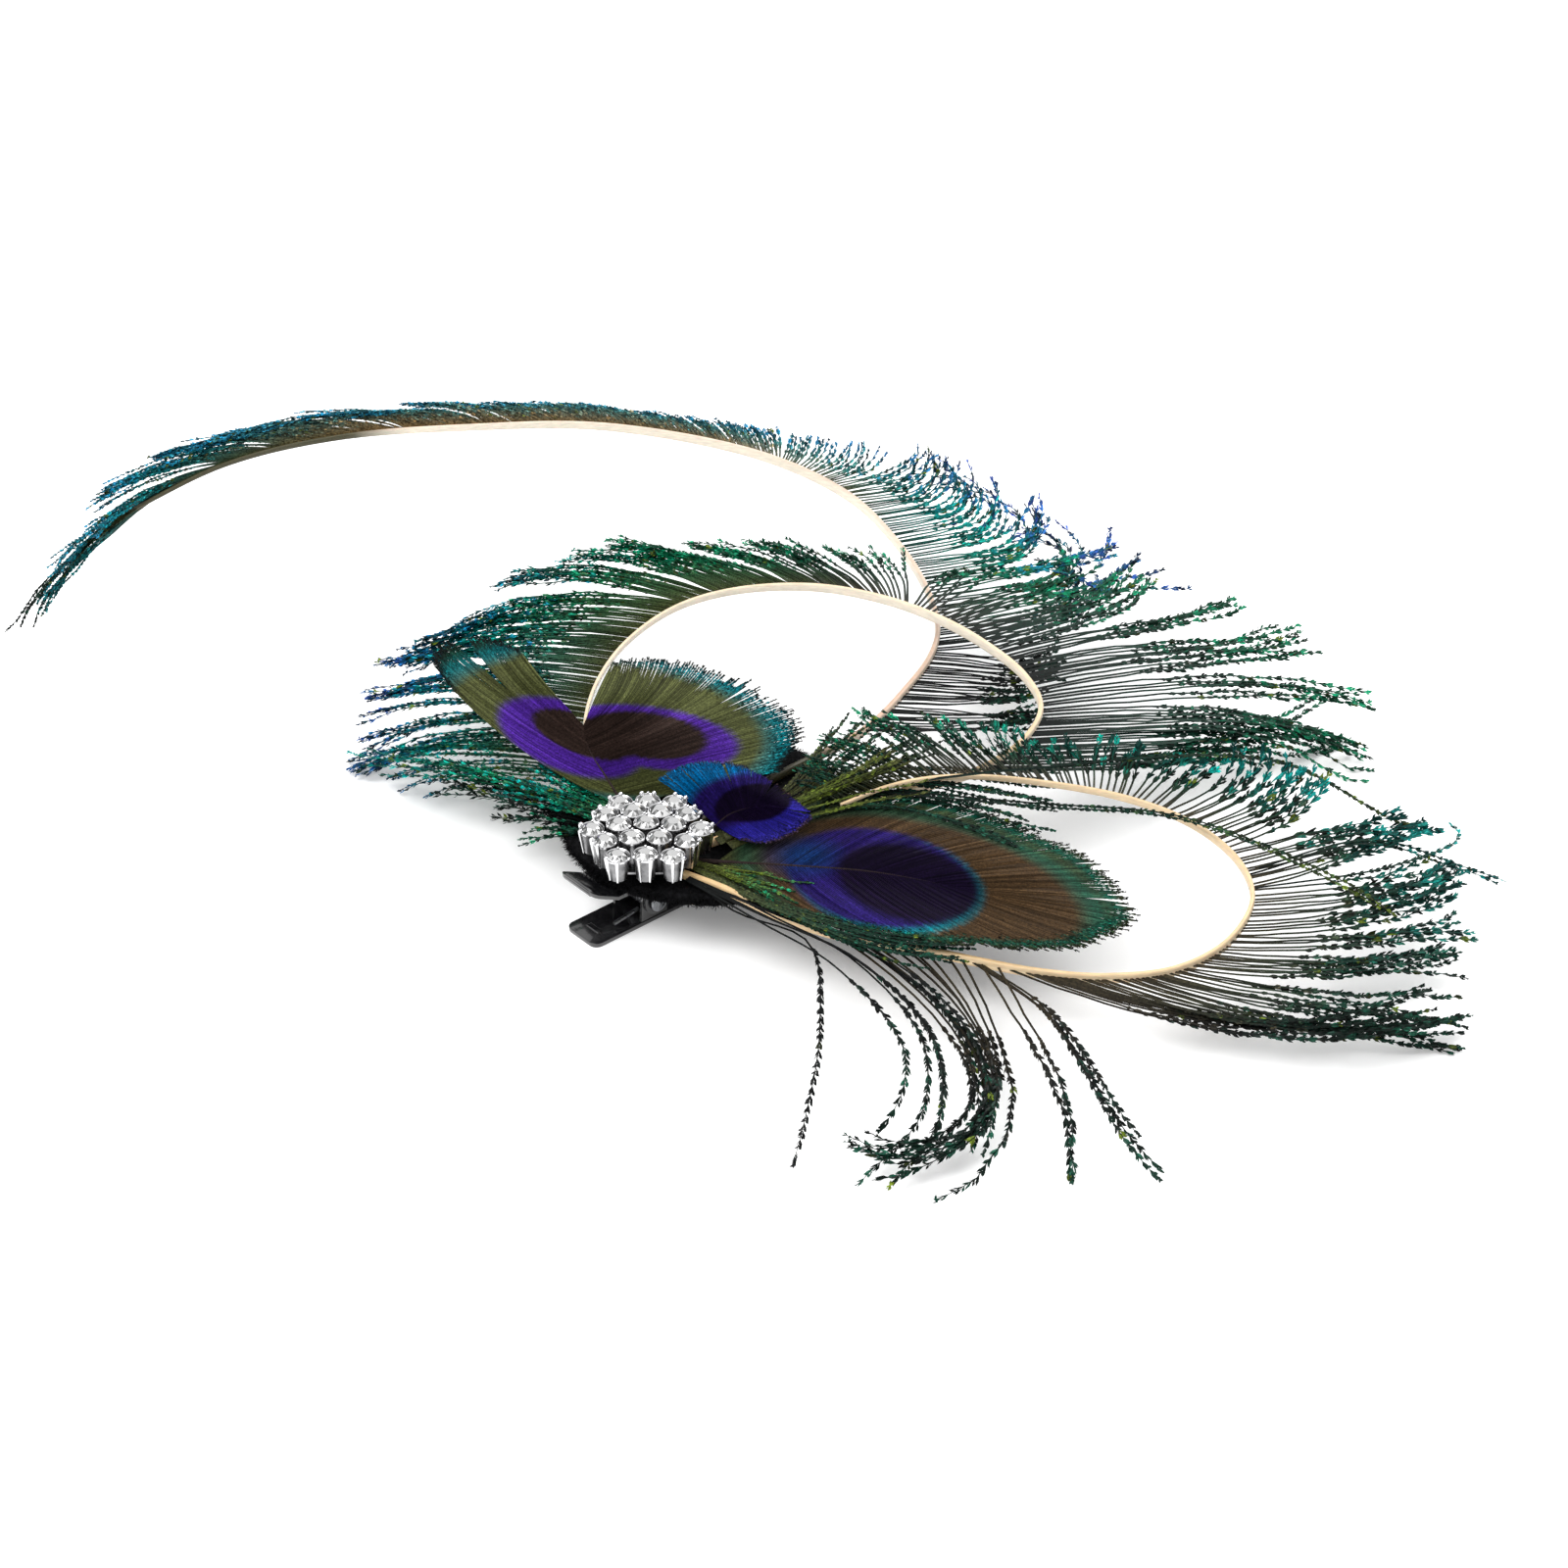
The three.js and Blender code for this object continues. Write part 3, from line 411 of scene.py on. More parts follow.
def smooth_line(rows, share, column=0):
    """Points at shares 0 to 1 of the even spline through x, y, z in the rows, from a column on."""
    rows = np.array([row[column : column + 3] for row in rows], float)
    ends = np.vstack([2 * rows[0] - rows[1], rows, 2 * rows[-1] - rows[-2]])
    place = np.clip(share, 0, 1) * (len(rows) - 1)
    span = np.minimum(place.astype(int), len(rows) - 2)
    w = (place - span)[:, None]
    a, b, c, d = (ends[span + step] for step in range(4))
    before, during, after = (sizes(end - start) ** 0.5 for start, end in ((a, b), (b, c), (c, d)))
    leave = ((b - a) / before - (c - a) / (before + during) + (c - b) / during) * during
    arrive = ((c - b) / during - (d - b) / (during + after) + (d - c) / after) * during
    bend = 3 * (c - b) - 2 * leave - arrive
    return b + leave * w + bend * w**2 + (2 * (b - c) + leave + arrive) * w**3


def read_off(known, rows, places):
    """Values of x, y, z at places, from rows at known places."""
    rows = np.asarray(rows, float)
    return np.column_stack([np.interp(places, known, rows[:, k]) for k in range(3)])


def distance_along(path, pace=1.0):
    """Distance of each point from the start of a path, in paces."""
    return np.concatenate([[0], np.cumsum(np.linalg.norm(np.diff(path, axis=0), axis=1) / pace)])


def sleeves(rings):
    """Points and triangles of closed sleeves, from an array of sleeve, ring, side and x, y, z."""
    count, length, sides, _ = rings.shape
    index = np.arange(count * length * sides).reshape(count, length, sides)
    near = index[:, :-1]
    far = index[:, 1:]
    beside = np.roll(near, -1, axis=2)
    beyond = np.roll(far, -1, axis=2)
    walls = [
        np.stack(corners, -1).reshape(-1, 3) for corners in ((near, beside, beyond), (near, beyond, far))
    ]
    for side in range(1, sides - 1):
        walls.append(index[:, 0][:, [0, side + 1, side]])
        walls.append(index[:, -1][:, [0, side, side + 1]])
    return rings.reshape(-1, 3), np.vstack(walls)


def frame_along(path):
    """Unit vectors along a path, to its outer side and up."""
    along = unit(np.gradient(path, axis=-2))
    side = unit(np.cross(along, UPWARD))
    return along, side, np.cross(side, along)


def tinted_material(name, sockets, noise, low, high, rough):
    """A finish whose colour is the mesh's tint, made darker and lighter by fine noise."""
    material, shader, speckle = finish_material(name, sockets, noise, rough)
    tree = material.node_tree
    tint = add_node(tree, "VertexColor")
    tint.layer_name = "tint"
    start, end = NOISE_BAND
    gain = add_node(tree, "MapRange", From_Min=start, From_Max=end, To_Min=low, To_Max=high)
    scaled = add_node(tree, "VectorMath")
    scaled.operation = "SCALE"
    link(speckle, "Fac", gain, "Value")
    link(tint, "Color", scaled, 0)
    link(gain, "Result", scaled, "Scale")
    link(scaled, "Vector", shader, "Base Color")
    return material


ivory = tinted_material(
    "ivory_quill", {"Subsurface Weight": 0.1, "Subsurface Scale": 0.0006}, (500, 3, (1, 1, 5)), 0.9, 1.06,
    (0.35, 0.55),
)


def quill_piece(name, rows, pale, tan, node, stained_to=0.0, stained_from=1.0):
    """A quill, tan at its foot and edges. Up to and past shares of its length it is dark like its barbs."""
    line = smooth_line(rows, np.linspace(0, 1, 1200))
    travelled = distance_along(line)
    reach = np.linspace(0, 1, QUILL.steps)
    path = read_off(travelled, line, reach * travelled[-1])
    _, side, up = frame_along(path)
    tall = np.interp(reach, (0, 0.5, 1), QUILL.tall)
    thick = np.interp(reach, (0, 1), QUILL.thick)
    angle = 2 * np.pi * np.arange(QUILL.sides) / QUILL.sides
    high = np.sign(np.cos(angle)) * np.abs(np.cos(angle)) ** QUILL.square
    wide = np.sign(np.sin(angle)) * np.abs(np.sin(angle)) ** QUILL.square
    rings = (
        path[:, None]
        + up[:, None] * (tall[:, None] / 2 * high)[..., None]
        + side[:, None] * (thick[:, None] / 2 * wide)[..., None]
    )
    points, triangles = sleeves(rings[None])
    edge = np.tile(np.abs(high) ** 4, QUILL.steps)
    foot = np.repeat(np.interp(reach, QUILL.tan_at, QUILL.tan_foot), QUILL.sides)
    shade = np.clip(edge * QUILL.tan_edge + foot, 0, 1)[:, None]
    tint = np.array(pale) * (1 - shade) + np.array(tan) * shade
    stained = np.maximum(reach - stained_from, stained_to - reach) / QUILL.stain_fade
    stain = np.repeat(np.clip(stained, 0, 1), QUILL.sides)[:, None]
    tint = tint * (1 - stain) + np.array(STAIN) * stain
    array_piece(name, points, triangles, ivory, node, tint)


quill_piece("long_quill", LONG_SWORD, CREAM, ROSE_TAN, "long_sword_quill", stained_to=0.17, stained_from=0.79)
quill_piece("upper_quill", UPPER_CURL, CREAM, TAN, "upper_curl_quill")
quill_piece("right_quill", RIGHT_CURL, IVORY, TAN, "right_curl_quill")


# Sword feather barbs: soft dark threads off the quill's outer side, gathered by handling into locks.
# Past its bare foot each barb carries beads of iridescent barbules, green to blue, that sweep to its tip.
INK = (0.004, 0.005, 0.005)
DARK_GREEN = (0.004, 0.03, 0.018)
BROWN = (0.034, 0.026, 0.014)
OLIVE = (0.055, 0.06, 0.02)
EMERALD = (0.002, 0.125, 0.058)
TEAL = (0.0, 0.17, 0.16)
BAND_TEAL = (0.008, 0.2, 0.21)
BAND_BLUE = (0.008, 0.15, 0.26)
BAND_CORE = (0.2, 0.12, 0.045)
BAND_MIX = (0.05, 0.16, 0.15)
SEA_BLUE = (0.003, 0.1, 0.2)
ROYAL = (0.014, 0.04, 0.2)
GOLD_GREEN = (0.06, 0.085, 0.008)
BARB = Sizes(
    points=16, radii=(0.33, 0.27, 0.09), flat=0.6, off_quill=0.4, open=0.5, hold=0.45, wave=0.35,
    ripple=0.3, curl_from=0.45, level_over=0.08, lowest_tip=0.5, lowest=0.4,
)
LOCK = Sizes(least=5, most=15, gather=0.62, wander=(1.3, 1.3, 0.52), stray=0.5, loose_at=40)
# The beads' painted glints and painted shade stay within the bounds of light; shaded beads are darkened to
# one level.
BEAD = Sizes(
    steps=(0.0, 0.33, 0.66), shortest=1.05, wide=0.13, wide_by_reach=0.18, thick=0.09, golden=0.05,
    dull=0.22, light=(0.08, 2.6), lowest=0.1,
)

barbs = tinted_material(
    "sword_barbs", {"Metallic": 0.1, "Specular IOR Level": 0.1}, (2600, 3), 0.5, 1.6, (0.3, 0.55)
)


def thread_rings(paths, radii, sides=3, flat=1.0):
    along = unit(np.gradient(paths, axis=1))
    side = unit(np.cross(along, UPWARD) + 1e-6)
    up = np.cross(along, side) * flat
    angle = 2 * np.pi * np.arange(sides) / sides
    spoke = side[:, :, None] * np.cos(angle)[:, None] + up[:, :, None] * np.sin(angle)[:, None]
    return paths[:, :, None] + spoke * radii[:, :, None, None]


def tone(rows, station, share):
    """Colour at a station of the feather and share of the barb, by rows of station, root, middle and tip."""
    stations = [row[0] for row in rows]
    root, middle, tip = (read_off(stations, [row[column] for row in rows], station) for column in (1, 2, 3))
    to_middle = np.clip(share / 0.5, 0, 1)[:, None]
    to_tip = np.clip(share / 0.5 - 1, 0, 1)[:, None]
    return (root * (1 - to_middle) + middle * to_middle) * (1 - to_tip) + tip * to_tip


def curled(paths, normal, angle, start):
    """Paths whose ends turn about a normal by an angle that grows from a start share on."""
    steps = np.diff(paths, axis=1)
    share = np.linspace(0, 1, steps.shape[1])[None, :]
    turn = (angle[:, None] * np.clip((share - start) / (1 - start), 0, 1) ** 1.3)[..., None]
    axis = normal[:, None]
    turned = (
        steps * np.cos(turn)
        + np.cross(np.broadcast_to(axis, steps.shape), steps) * np.sin(turn)
        + axis * (steps * axis).sum(-1, keepdims=True) * (1 - np.cos(turn))
    )
    return np.concatenate([paths[:, :1], paths[:, :1] + np.cumsum(turned, axis=1)], axis=1)


def beads_on(paths, bare, reach, across, random):
    """Barbule slivers in beads on paths: root, tip, width's way, path and share of it, and bead number."""
    parts = []
    beads = 0
    for row, path in enumerate(paths):
        travelled = distance_along(path)
        length = travelled[-1]
        pitch = max(3 * reach[row], BEAD.shortest)
        start = np.arange(bare[row] * length, length - 0.3 * pitch, pitch)
        start = start + random.uniform(-0.2, 0.2, len(start)) * pitch
        number = np.repeat(beads + np.arange(len(start)), len(BEAD.steps))
        beads += len(start)
        step = (start[:, None] + np.array(BEAD.steps) * pitch).ravel()
        end = (start[:, None] + pitch * random.uniform(0.9, 1.25, (len(start), len(BEAD.steps)))).ravel()
        fade = np.interp(step / length, (bare[row], bare[row] + 0.12, 0.92, 1), (0.5, 1, 1, 0.6))
        at, to, ahead, behind = (
            read_off(travelled, path, places) for places in (step, end, step + 0.4, step - 0.4)
        )
        way = unit(ahead - behind + 1e-9)
        flat = unit(across[row] - way * (way @ across[row])[:, None])
        for hand in (-1, 1):
            roll = random.uniform(-0.8, 0.8, len(step))[:, None]
            lateral = flat * np.cos(roll) + np.cross(way, flat) * np.sin(roll)
            out = hand * reach[row] * fade * random.uniform(0.65, 1.2, len(step))
            forward = np.maximum(sizes(to - at), 0.5 * pitch)
            tip = at + way * forward * 0.95 + lateral * out[:, None]
            share = np.clip(step / length, 0, 1)
            owner = np.full(len(step), row)
            parts.append((at, tip, np.cross(way, lateral) * 0.4 + lateral, owner, share, number))
    return [np.concatenate(column) for column in zip(*parts)]


def barb_mesh(paths, station, bare, reach, across, tones, random, thin=1.0, dull=0.4):
    """Points, triangles and tints of barbs on paths: flat threads with beads that carry painted glints, a
    share of them darkened as painted shade.
    """
    count, length = paths.shape[:2]
    share = np.linspace(0, 1, length)
    radii = np.broadcast_to(np.interp(share, (0, 0.5, 1), BARB.radii) * thin, (count, length))
    thread_points, thread_faces = sleeves(thread_rings(paths, radii, flat=BARB.flat))
    thread_tint = tone(tones, np.repeat(station, length * 3), np.tile(np.repeat(share, 3), count) * 0.8) * 0.8
    thread_tint = thread_tint * np.repeat(random.uniform(0.5, 1.3, count), length * 3)[:, None]
    root, tip, way, owner, place, number = beads_on(paths, bare, reach, across, random)
    beads = number.max() + 1
    wide = BEAD.wide + BEAD.wide_by_reach * reach[owner]
    bead_points, bead_faces = slivers(root, tip, way + random.normal(0, 0.25, way.shape), wide, BEAD.thick)
    hue = np.clip(place + random.normal(0, 0.14, beads)[number], 0, 1)
    golden = (random.uniform(size=beads) < BEAD.golden)[number][:, None]
    bead_tint = np.where(golden, np.array(GOLD_GREEN), tone(tones, station[owner], hue))
    # Painted light on the beads: a share is darkened as painted shade between them, the rest brightened at
    # random as painted glints of the iridescent barbules.
    shaded = random.uniform(size=beads) < dull
    spark = np.where(shaded, BEAD.dull, random.gamma(3, 0.5, beads))[number]
    spark = spark * random.uniform(0.5, 1.3, len(number))
    bead_tint = bead_tint * np.clip(spark, *BEAD.light)[:, None]
    points = np.vstack([thread_points, bead_points])
    points[:, 2] = np.maximum(points[:, 2], BEAD.lowest)
    triangles = np.vstack([thread_faces, bead_faces + len(thread_points)])
    return points, triangles, np.clip(np.vstack([thread_tint, np.repeat(bead_tint, 4, axis=0)]), 0, 1)


def arched(root, middle, tip, u):
    """Paths from roots to tips that are drawn towards points between them."""
    return root[:, None] * (1 - u) ** 2 + middle[:, None] * 2 * u * (1 - u) + tip[:, None] * u**2


def sword_barbs(name, rows, tones, curls, bunches, node, seed, thin=1.0, level_from=1.0, dull=0.4):
    """All barbs of a sword feather. Curls are rows of station, turn of the barb's end and spread in degrees.
    Bunches are rows of the stations a bunch starts and ends at, how far its tips draw together, and where to.
    From a level station on, barbs rise at once and then run along the quill."""
    random = np.random.default_rng(seed)
    first = next(index for index, row in enumerate(rows) if len(row) > 3)
    spans = len(rows) - 1
    dense = np.linspace(first / spans, 1, 2400)
    line = smooth_line(rows, dense)
    barbed = rows[first:]
    at_row = dense * spans - first
    gap, bare, reach, lean = (
        np.interp(at_row, range(len(barbed)), [(*row, 0)[k] for row in barbed]) for k in (6, 7, 8, 9)
    )
    counted = distance_along(line, gap[1:])
    count = int(counted[-1])
    share = np.interp(np.arange(count) + random.uniform(0.1, 0.9, count), counted, dense)
    station = (share - first / spans) / (1 - first / spans)
    bare, reach, lean = (np.interp(share, dense, values) for values in (bare, reach, lean))
    bare = np.clip(bare + random.normal(0, 0.04, count), 0.05, 0.9)
    along, side, _ = frame_along(line)
    along, side, root = (read_off(dense, values, share) for values in (along, side, line))
    root = root + unit(side) * BARB.off_quill
    tip = smooth_line(barbed, station, 3)
    for start, end, pull, target in bunches:
        member = (station >= start) & (station < end)
        tip[member] += (np.array(target) - tip[member]) * pull

    lock = np.repeat(np.arange(count), random.integers(LOCK.least, LOCK.most, count))[:count]
    lock_middle = np.array([np.flatnonzero(lock == lock[k]).mean() for k in range(count)])
    lock_tip = read_off(np.arange(count), tip, lock_middle)
    loose = np.clip(sizes(tip - root) / LOCK.loose_at, 0.2, 1)
    wander = random.normal(0, LOCK.wander, (count, 3))[lock] + random.normal(0, LOCK.stray, (count, 3))
    gather = LOCK.gather * loose
    tip = tip * (1 - gather) + lock_tip * gather + wander * loose
    grow = 1 + random.uniform(-0.1, 0.05, count)[lock] - np.abs(random.normal(0, 0.06, count))
    tip = root + (tip - root) * grow[:, None]
    tip[:, 2] = np.maximum(tip[:, 2], BARB.lowest_tip)

    chord = tip - root
    length = sizes(chord)
    leave = unit(unit(chord * np.array([1, 1, 0])) + unit(side) * BARB.open)
    middle = root + leave * length * BARB.hold + along * length * lean[:, None]
    middle[:, 2] += chord[:, 2] * np.clip((station - level_from) / BARB.level_over, 0, 1)
    u = np.linspace(0, 1, BARB.points)[None, :, None]
    paths = arched(root, middle, tip, u)
    across = unit(np.cross(chord, UPWARD))
    phase = random.uniform(0, 2 * np.pi, (count, 1, 1))
    wave = np.sin(u * length[:, None] * random.uniform(0.55, 0.8, (count, 1, 1)) + phase)
    paths = paths + across[:, None] * wave * BARB.wave * u * loose[:, None]
    paths = paths + UPWARD * np.sin(u * length[:, None] * 0.4 + phase * 2) * BARB.ripple * u
    normal = unit(np.cross(chord, along))
    turn, spread = (np.interp(station, [row[0] for row in curls], [row[k] for row in curls]) for k in (1, 2))
    unlike = 0.8 * random.normal(0, 1, count)[lock] + 0.5 * random.normal(0, 1, count)
    paths = curled(paths, normal, np.radians(turn + spread * unlike), BARB.curl_from)
    paths[..., 2] = np.maximum(paths[..., 2], BARB.lowest)
    points, triangles, tint = barb_mesh(paths, station, bare, reach, across, tones, random, thin, dull)
    array_piece(name, points, triangles, barbs, node, tint)


sword_barbs(
    "long_barbs", LONG_SWORD,
    [
        (0.18, INK, INK, DARK_GREEN),
        (0.3, INK, EMERALD, ROYAL),
        (0.45, DARK_GREEN, TEAL, ROYAL),
        (0.6, BAND_CORE, BAND_MIX, BAND_BLUE),
        (0.8, BAND_CORE, BAND_MIX, BAND_BLUE),
        (0.9, OLIVE, BAND_TEAL, BAND_BLUE),
        (1.0, OLIVE, BAND_TEAL, DARK_GREEN),
    ],
    [
        (0, 10, 15), (0.15, 15, 20), (0.24, 90, 55), (0.44, 115, 60), (0.56, 30, 12), (0.64, 0, 2),
        (0.85, 0, 2), (1, 0, 9),
    ],
    [(0.79, 0.87, 0.45, (-92, 87, 41))],
    "long_sword_vane", 21, thin=0.85, level_from=0.56, dull=0.2,
)
sword_barbs(
    "upper_barbs", UPPER_CURL,
    [
        (0.3, INK, DARK_GREEN, EMERALD),
        (0.45, BROWN, DARK_GREEN, EMERALD),
        (0.55, OLIVE, EMERALD, EMERALD),
        (0.65, OLIVE, EMERALD, SEA_BLUE),
        (0.8, OLIVE, TEAL, ROYAL),
        (1.0, OLIVE, EMERALD, SEA_BLUE),
    ],
    [(0, 5, 20), (0.3, 10, 22), (0.42, 0, 25), (0.5, 12, 8), (0.64, 30, 6), (0.67, 14, 6)],
    [(0.655, 0.83, 0.42, (-49, 63, 14.5)), (0.83, 0.98, 0.42, (-55, 50, 2))],
    "upper_curl_vane", 22,
)
sword_barbs(
    "right_barbs", RIGHT_CURL,
    [
        (0.2, BROWN, INK, DARK_GREEN),
        (0.35, BROWN, DARK_GREEN, DARK_GREEN),
        (0.6, BROWN, DARK_GREEN, TEAL),
        (0.8, BROWN, DARK_GREEN, EMERALD),
        (1.0, OLIVE, DARK_GREEN, DARK_GREEN),
    ],
    [(0, -26, 20), (0.1, -30, 26), (0.14, 10, 25), (0.25, 22, 15), (0.48, 5, 25), (0.65, 10, 45), (1, 0, 30)],
    [(0.12, 0.31, 0.66, (143, -43, 0.8)), (0.33, 0.42, 0.4, (147, -20, 6))],
    "right_curl_vane", 23, thin=0.85,
)


# Loose herls: long barbs from the feathers' bases that slipped out from under the brooch, and strays.
# They lie over the felt and between the feathers. Each row is one bunch that fans out from its first point.
# Columns: count, spread (mm), bare share of a barb, bead reach (mm), tones from root to tip, route.
HERLS = [
    (8, 4, 0.3, 0.5, (OLIVE, EMERALD, TEAL), [(0, 8, 13.3), (-27.6, 25.2, 12), (-53, 39, 8)]),
    (7, 3, 0.45, 0.75, (INK, DARK_GREEN, DARK_GREEN), [(-2, 8, 13), (-19, 18, 11.6), (-38, 28, 8)]),
    (9, 3, 0.45, 0.8, (INK, INK, DARK_GREEN), [(-3, 6, 13), (-16, 12, 12.4), (-27, 17, 10)]),
    (26, 5, 0.05, 0.36, (OLIVE, EMERALD, TEAL), [(2, 5, 13.4), (-8, 13, 13.6), (-22, 23, 13.6)]),
    (12, 5, 0.1, 0.4, (INK, DARK_GREEN, EMERALD), [(0, 3, 13.2), (-11, 8, 12.9), (-19, 11, 12.6)]),
    (14, 5, 0.35, 0.3, (OLIVE, OLIVE, DARK_GREEN), [(14, 3, 13.6), (28, 15, 16), (42, 32, 19.5)]),
    (14, 5, 0.35, 0.3, (OLIVE, OLIVE, DARK_GREEN), [(14, 1, 13.8), (34, 13, 16.4), (54, 25, 18.5)]),
    (14, 4, 0.3, 0.3, (OLIVE, GOLD_GREEN, OLIVE), [(15, 2, 14.6), (31, 6, 19.4), (48, 14, 22)]),
    (18, 5, 0.25, 0.4, (OLIVE, DARK_GREEN, DARK_GREEN), [(16, -1, 14.4), (42, 12.6, 16.8), (74, 5, 15.6)]),
    (18, 3.5, 0.1, 0.28, (OLIVE, DARK_GREEN, DARK_GREEN),
     [(9, -5, 13.6), (25.5, -18.5, 13.3), (42, -27, 12.4), (58, -29.5, 11.6)]),
    (20, 4, 0.05, 0.28, (OLIVE, GOLD_GREEN, EMERALD), [(8, -4, 13.6), (17, -9.5, 14), (29, -16, 13.8)]),
    (7, 5, 0.5, 0.7, (INK, INK, DARK_GREEN),
     [(9, -9, 13.4), (23, -19.5, 12.6), (38, -29, 10.8), (52, -49, 8), (52.5, -66, 4), (44, -83, 1)]),
    (3, 1.6, 0.25, 0.65, (BROWN, INK, DARK_GREEN),
     [(58, -28.2, 9.3), (69, -40, 8), (75.4, -53, 6), (81, -69, 3.5), (93, -86, 1)]),
    (1, 0.3, 0.35, 0.7, (INK, INK, INK),
     [(10, -10, 13.3), (17, -18, 12.4), (29.7, -25, 11), (31.8, -43, 7), (28.5, -65, 3.5), (25, -86, 0.8)]),
    (2, 1.2, 0.2, 0.4, (INK, DARK_GREEN, GOLD_GREEN),
     [(37.7, 12.4, 17.5), (70, 7.5, 17.4), (96, 3, 17.5), (120, -9, 14), (136, -21, 9)]),
    (2, 1.5, 0.3, 0.4, (INK, DARK_GREEN, GOLD_GREEN),
     [(42.9, 11.6, 18.5), (69, 13.3, 21), (112, 17.7, 20), (131, 8, 15), (141, 5, 12)]),
    (2, 2, 0.4, 0.45, (INK, DARK_GREEN, TEAL),
     [(106, -6, 12.6), (128, 1, 14), (143, -1, 10), (155, -5, 6)]),
    (1, 0.5, 0.3, 0.5, (INK, DARK_GREEN, TEAL),
     [(106, -10, 12.4), (132, -4, 13), (144, 6, 12), (141, 18, 10)]),
    (7, 2, 0.1, 0.3, (OLIVE, DARK_GREEN, INK),
     [(-96.5, 82, 34.4), (-106, 71, 31), (-111.5, 61, 27.5), (-115, 52, 24)]),
]
HERL = Sizes(points=24, fan=1.3, flat=0.25, apart=0.6, waves=12, wave=0.5, shorter=0.12, thin=0.8)

herl_random = np.random.default_rng(41)
herl_meshes = []
for count, spread, bare, bead, tones, stops in HERLS:
    share = np.linspace(0, 1, HERL.points)
    route = smooth_line(stops, share)
    _, side, up = frame_along(route)
    offset = herl_random.normal(0, spread, (count, 2))
    fan = (share ** HERL.fan)[None, :, None]
    paths = route + fan * (offset[:, :1, None] * side + HERL.flat * offset[:, 1:, None] * up)
    paths = paths + side * herl_random.normal(0, HERL.apart, (count, 1, 1)) * (1 - fan)
    phase = herl_random.uniform(0, 6, (count, 1, 1))
    paths = paths + side * np.sin(HERL.waves * fan + phase) * HERL.wave * fan
    keep = 1 - np.abs(herl_random.normal(0, HERL.shorter, count))
    paths = np.stack([read_off(share, path, share * part) for path, part in zip(paths, keep)])
    paths[..., 2] = np.maximum(paths[..., 2], BARB.lowest_tip)
    across = unit(np.cross(paths[:, -1] - paths[:, 0], UPWARD))
    bare = np.full(count, bare)
    bead = np.full(count, bead)
    herl_meshes.append(
        barb_mesh(paths, np.zeros(count), bare, bead, across, [(0, *tones)], herl_random, HERL.thin)
    )


def stacked(meshes):
    """One mesh from several of points, triangles and tints."""
    starts = np.cumsum([0] + [len(points) for points, _, _ in meshes[:-1]])
    triangles = np.vstack([faces + start for (_, faces, _), start in zip(meshes, starts)])
    return np.vstack([mesh[0] for mesh in meshes]), triangles, np.vstack([mesh[2] for mesh in meshes])


herl_points, herl_faces, herl_tint = stacked(herl_meshes)
array_piece("loose_herls", herl_points, herl_faces, barbs, tint=herl_tint)


# Eye feathers: three trimmed peacock eyes, glued by their shafts under the brooch.
# Each half vane is a sheet of close flat barbs whose colours change along them into rings round a dark lens.
# Columns: shaft x, y, z, then left edge x, y, z and right edge x, y, z (mm).
LEFT_EYE = [
    (1, 4.5, 12.9),
    (-3, 12, 14.2, -37, 45, 20.5, 25.5, 20, 16.5),
    (-6.5, 19, 15.8, -39, 50, 21.2, 29, 31, 18.5),
    (-9, 24, 16.8, -37, 54.5, 21.8, 18.5, 44.5, 19.6),
    (-10.2, 28, 17.4, -31, 55.8, 22.2, 5, 51.5, 20),
    (-10.8, 32, 17.9, -25, 52.5, 22.3, -5.8, 51.5, 20),
]
MIDDLE_EYE = [
    (7.3, 0.9, 12.9),
    (11, 3.8, 12.9),
    (13.6, 5.2, 14.6, 3, 14.5, 18.5, 18, -2, 16.5),
    (16, 5.6, 16.6, 8.5, 17, 20, 22.3, -3.4, 16.9),
    (19.5, 5.4, 18.1, 19, 13.5, 21.2, 27, -1.2, 17.6),
    (22.5, 4.8, 19, 30.4, 1.4, 19.9, 30.5, 1, 19.7),
]
RIGHT_EYE = [
    (7.9, -3.4, 12.9),
    (14, -5, 13.8, 33, 12, 16, 28, -18, 12.6),
    (28, -8, 15, 52, 12.5, 16, 46, -26, 12.6),
    (40, -10, 15.3, 69, 4, 15, 63, -29, 12.4),
    (50, -12.5, 15, 81, -6, 13.8, 78, -28, 12.2),
    (58, -15, 14.5, 87, -20.4, 12.7, 86.8, -21, 12.6),
]
EYE = Sizes(
    barbs=110, points=30, ridge=0.2, partings=0.1, parted=0.35, stir=0.05, lift=0.03, overlap=0.6,
    narrowest=0.14, widest=0.6, unlike=0.22, speckle=0.1,
)
FRINGE = Sizes(start=0.84, reach=0.3, wide=0.1, thick=0.06, fade=0.06)
SWEEP = Sizes(open=0.35, fade=2, hold=0.45)
FAN_SWEEP = Sizes(open=1.2, fade=6, hold=0.52)
FORK = Sizes(gap=1.6, start=0.55)
SHAFT = Sizes(steps=60, sides=8, radii=(0.75, 0.28, 0.08), brown=(0.02, 0.013, 0.012))
LENS = (0.0035, 0.0015, 0.009)
LENS_BROWN = (0.018, 0.011, 0.009)
VIOLET = (0.042, 0.012, 0.16)
INDIGO = (0.01, 0.005, 0.06)
BRIGHT_BLUE = (0.014, 0.011, 0.15)
BRIGHT_TEAL = (0.0, 0.105, 0.125)
NIGHT_BLUE = (0.003, 0.016, 0.07)
SKY = (0.0, 0.065, 0.17)
BRONZE = (0.035, 0.02, 0.009)
UMBER_GREEN = (0.026, 0.03, 0.011)
MOSS = (0.042, 0.047, 0.016)
RIM_GREEN = (0.0, 0.055, 0.036)

eye_barbs = tinted_material("eye_barbs", {"Specular IOR Level": 0.04}, (3200, 3), 0.6, 1.4, (0.4, 0.6))


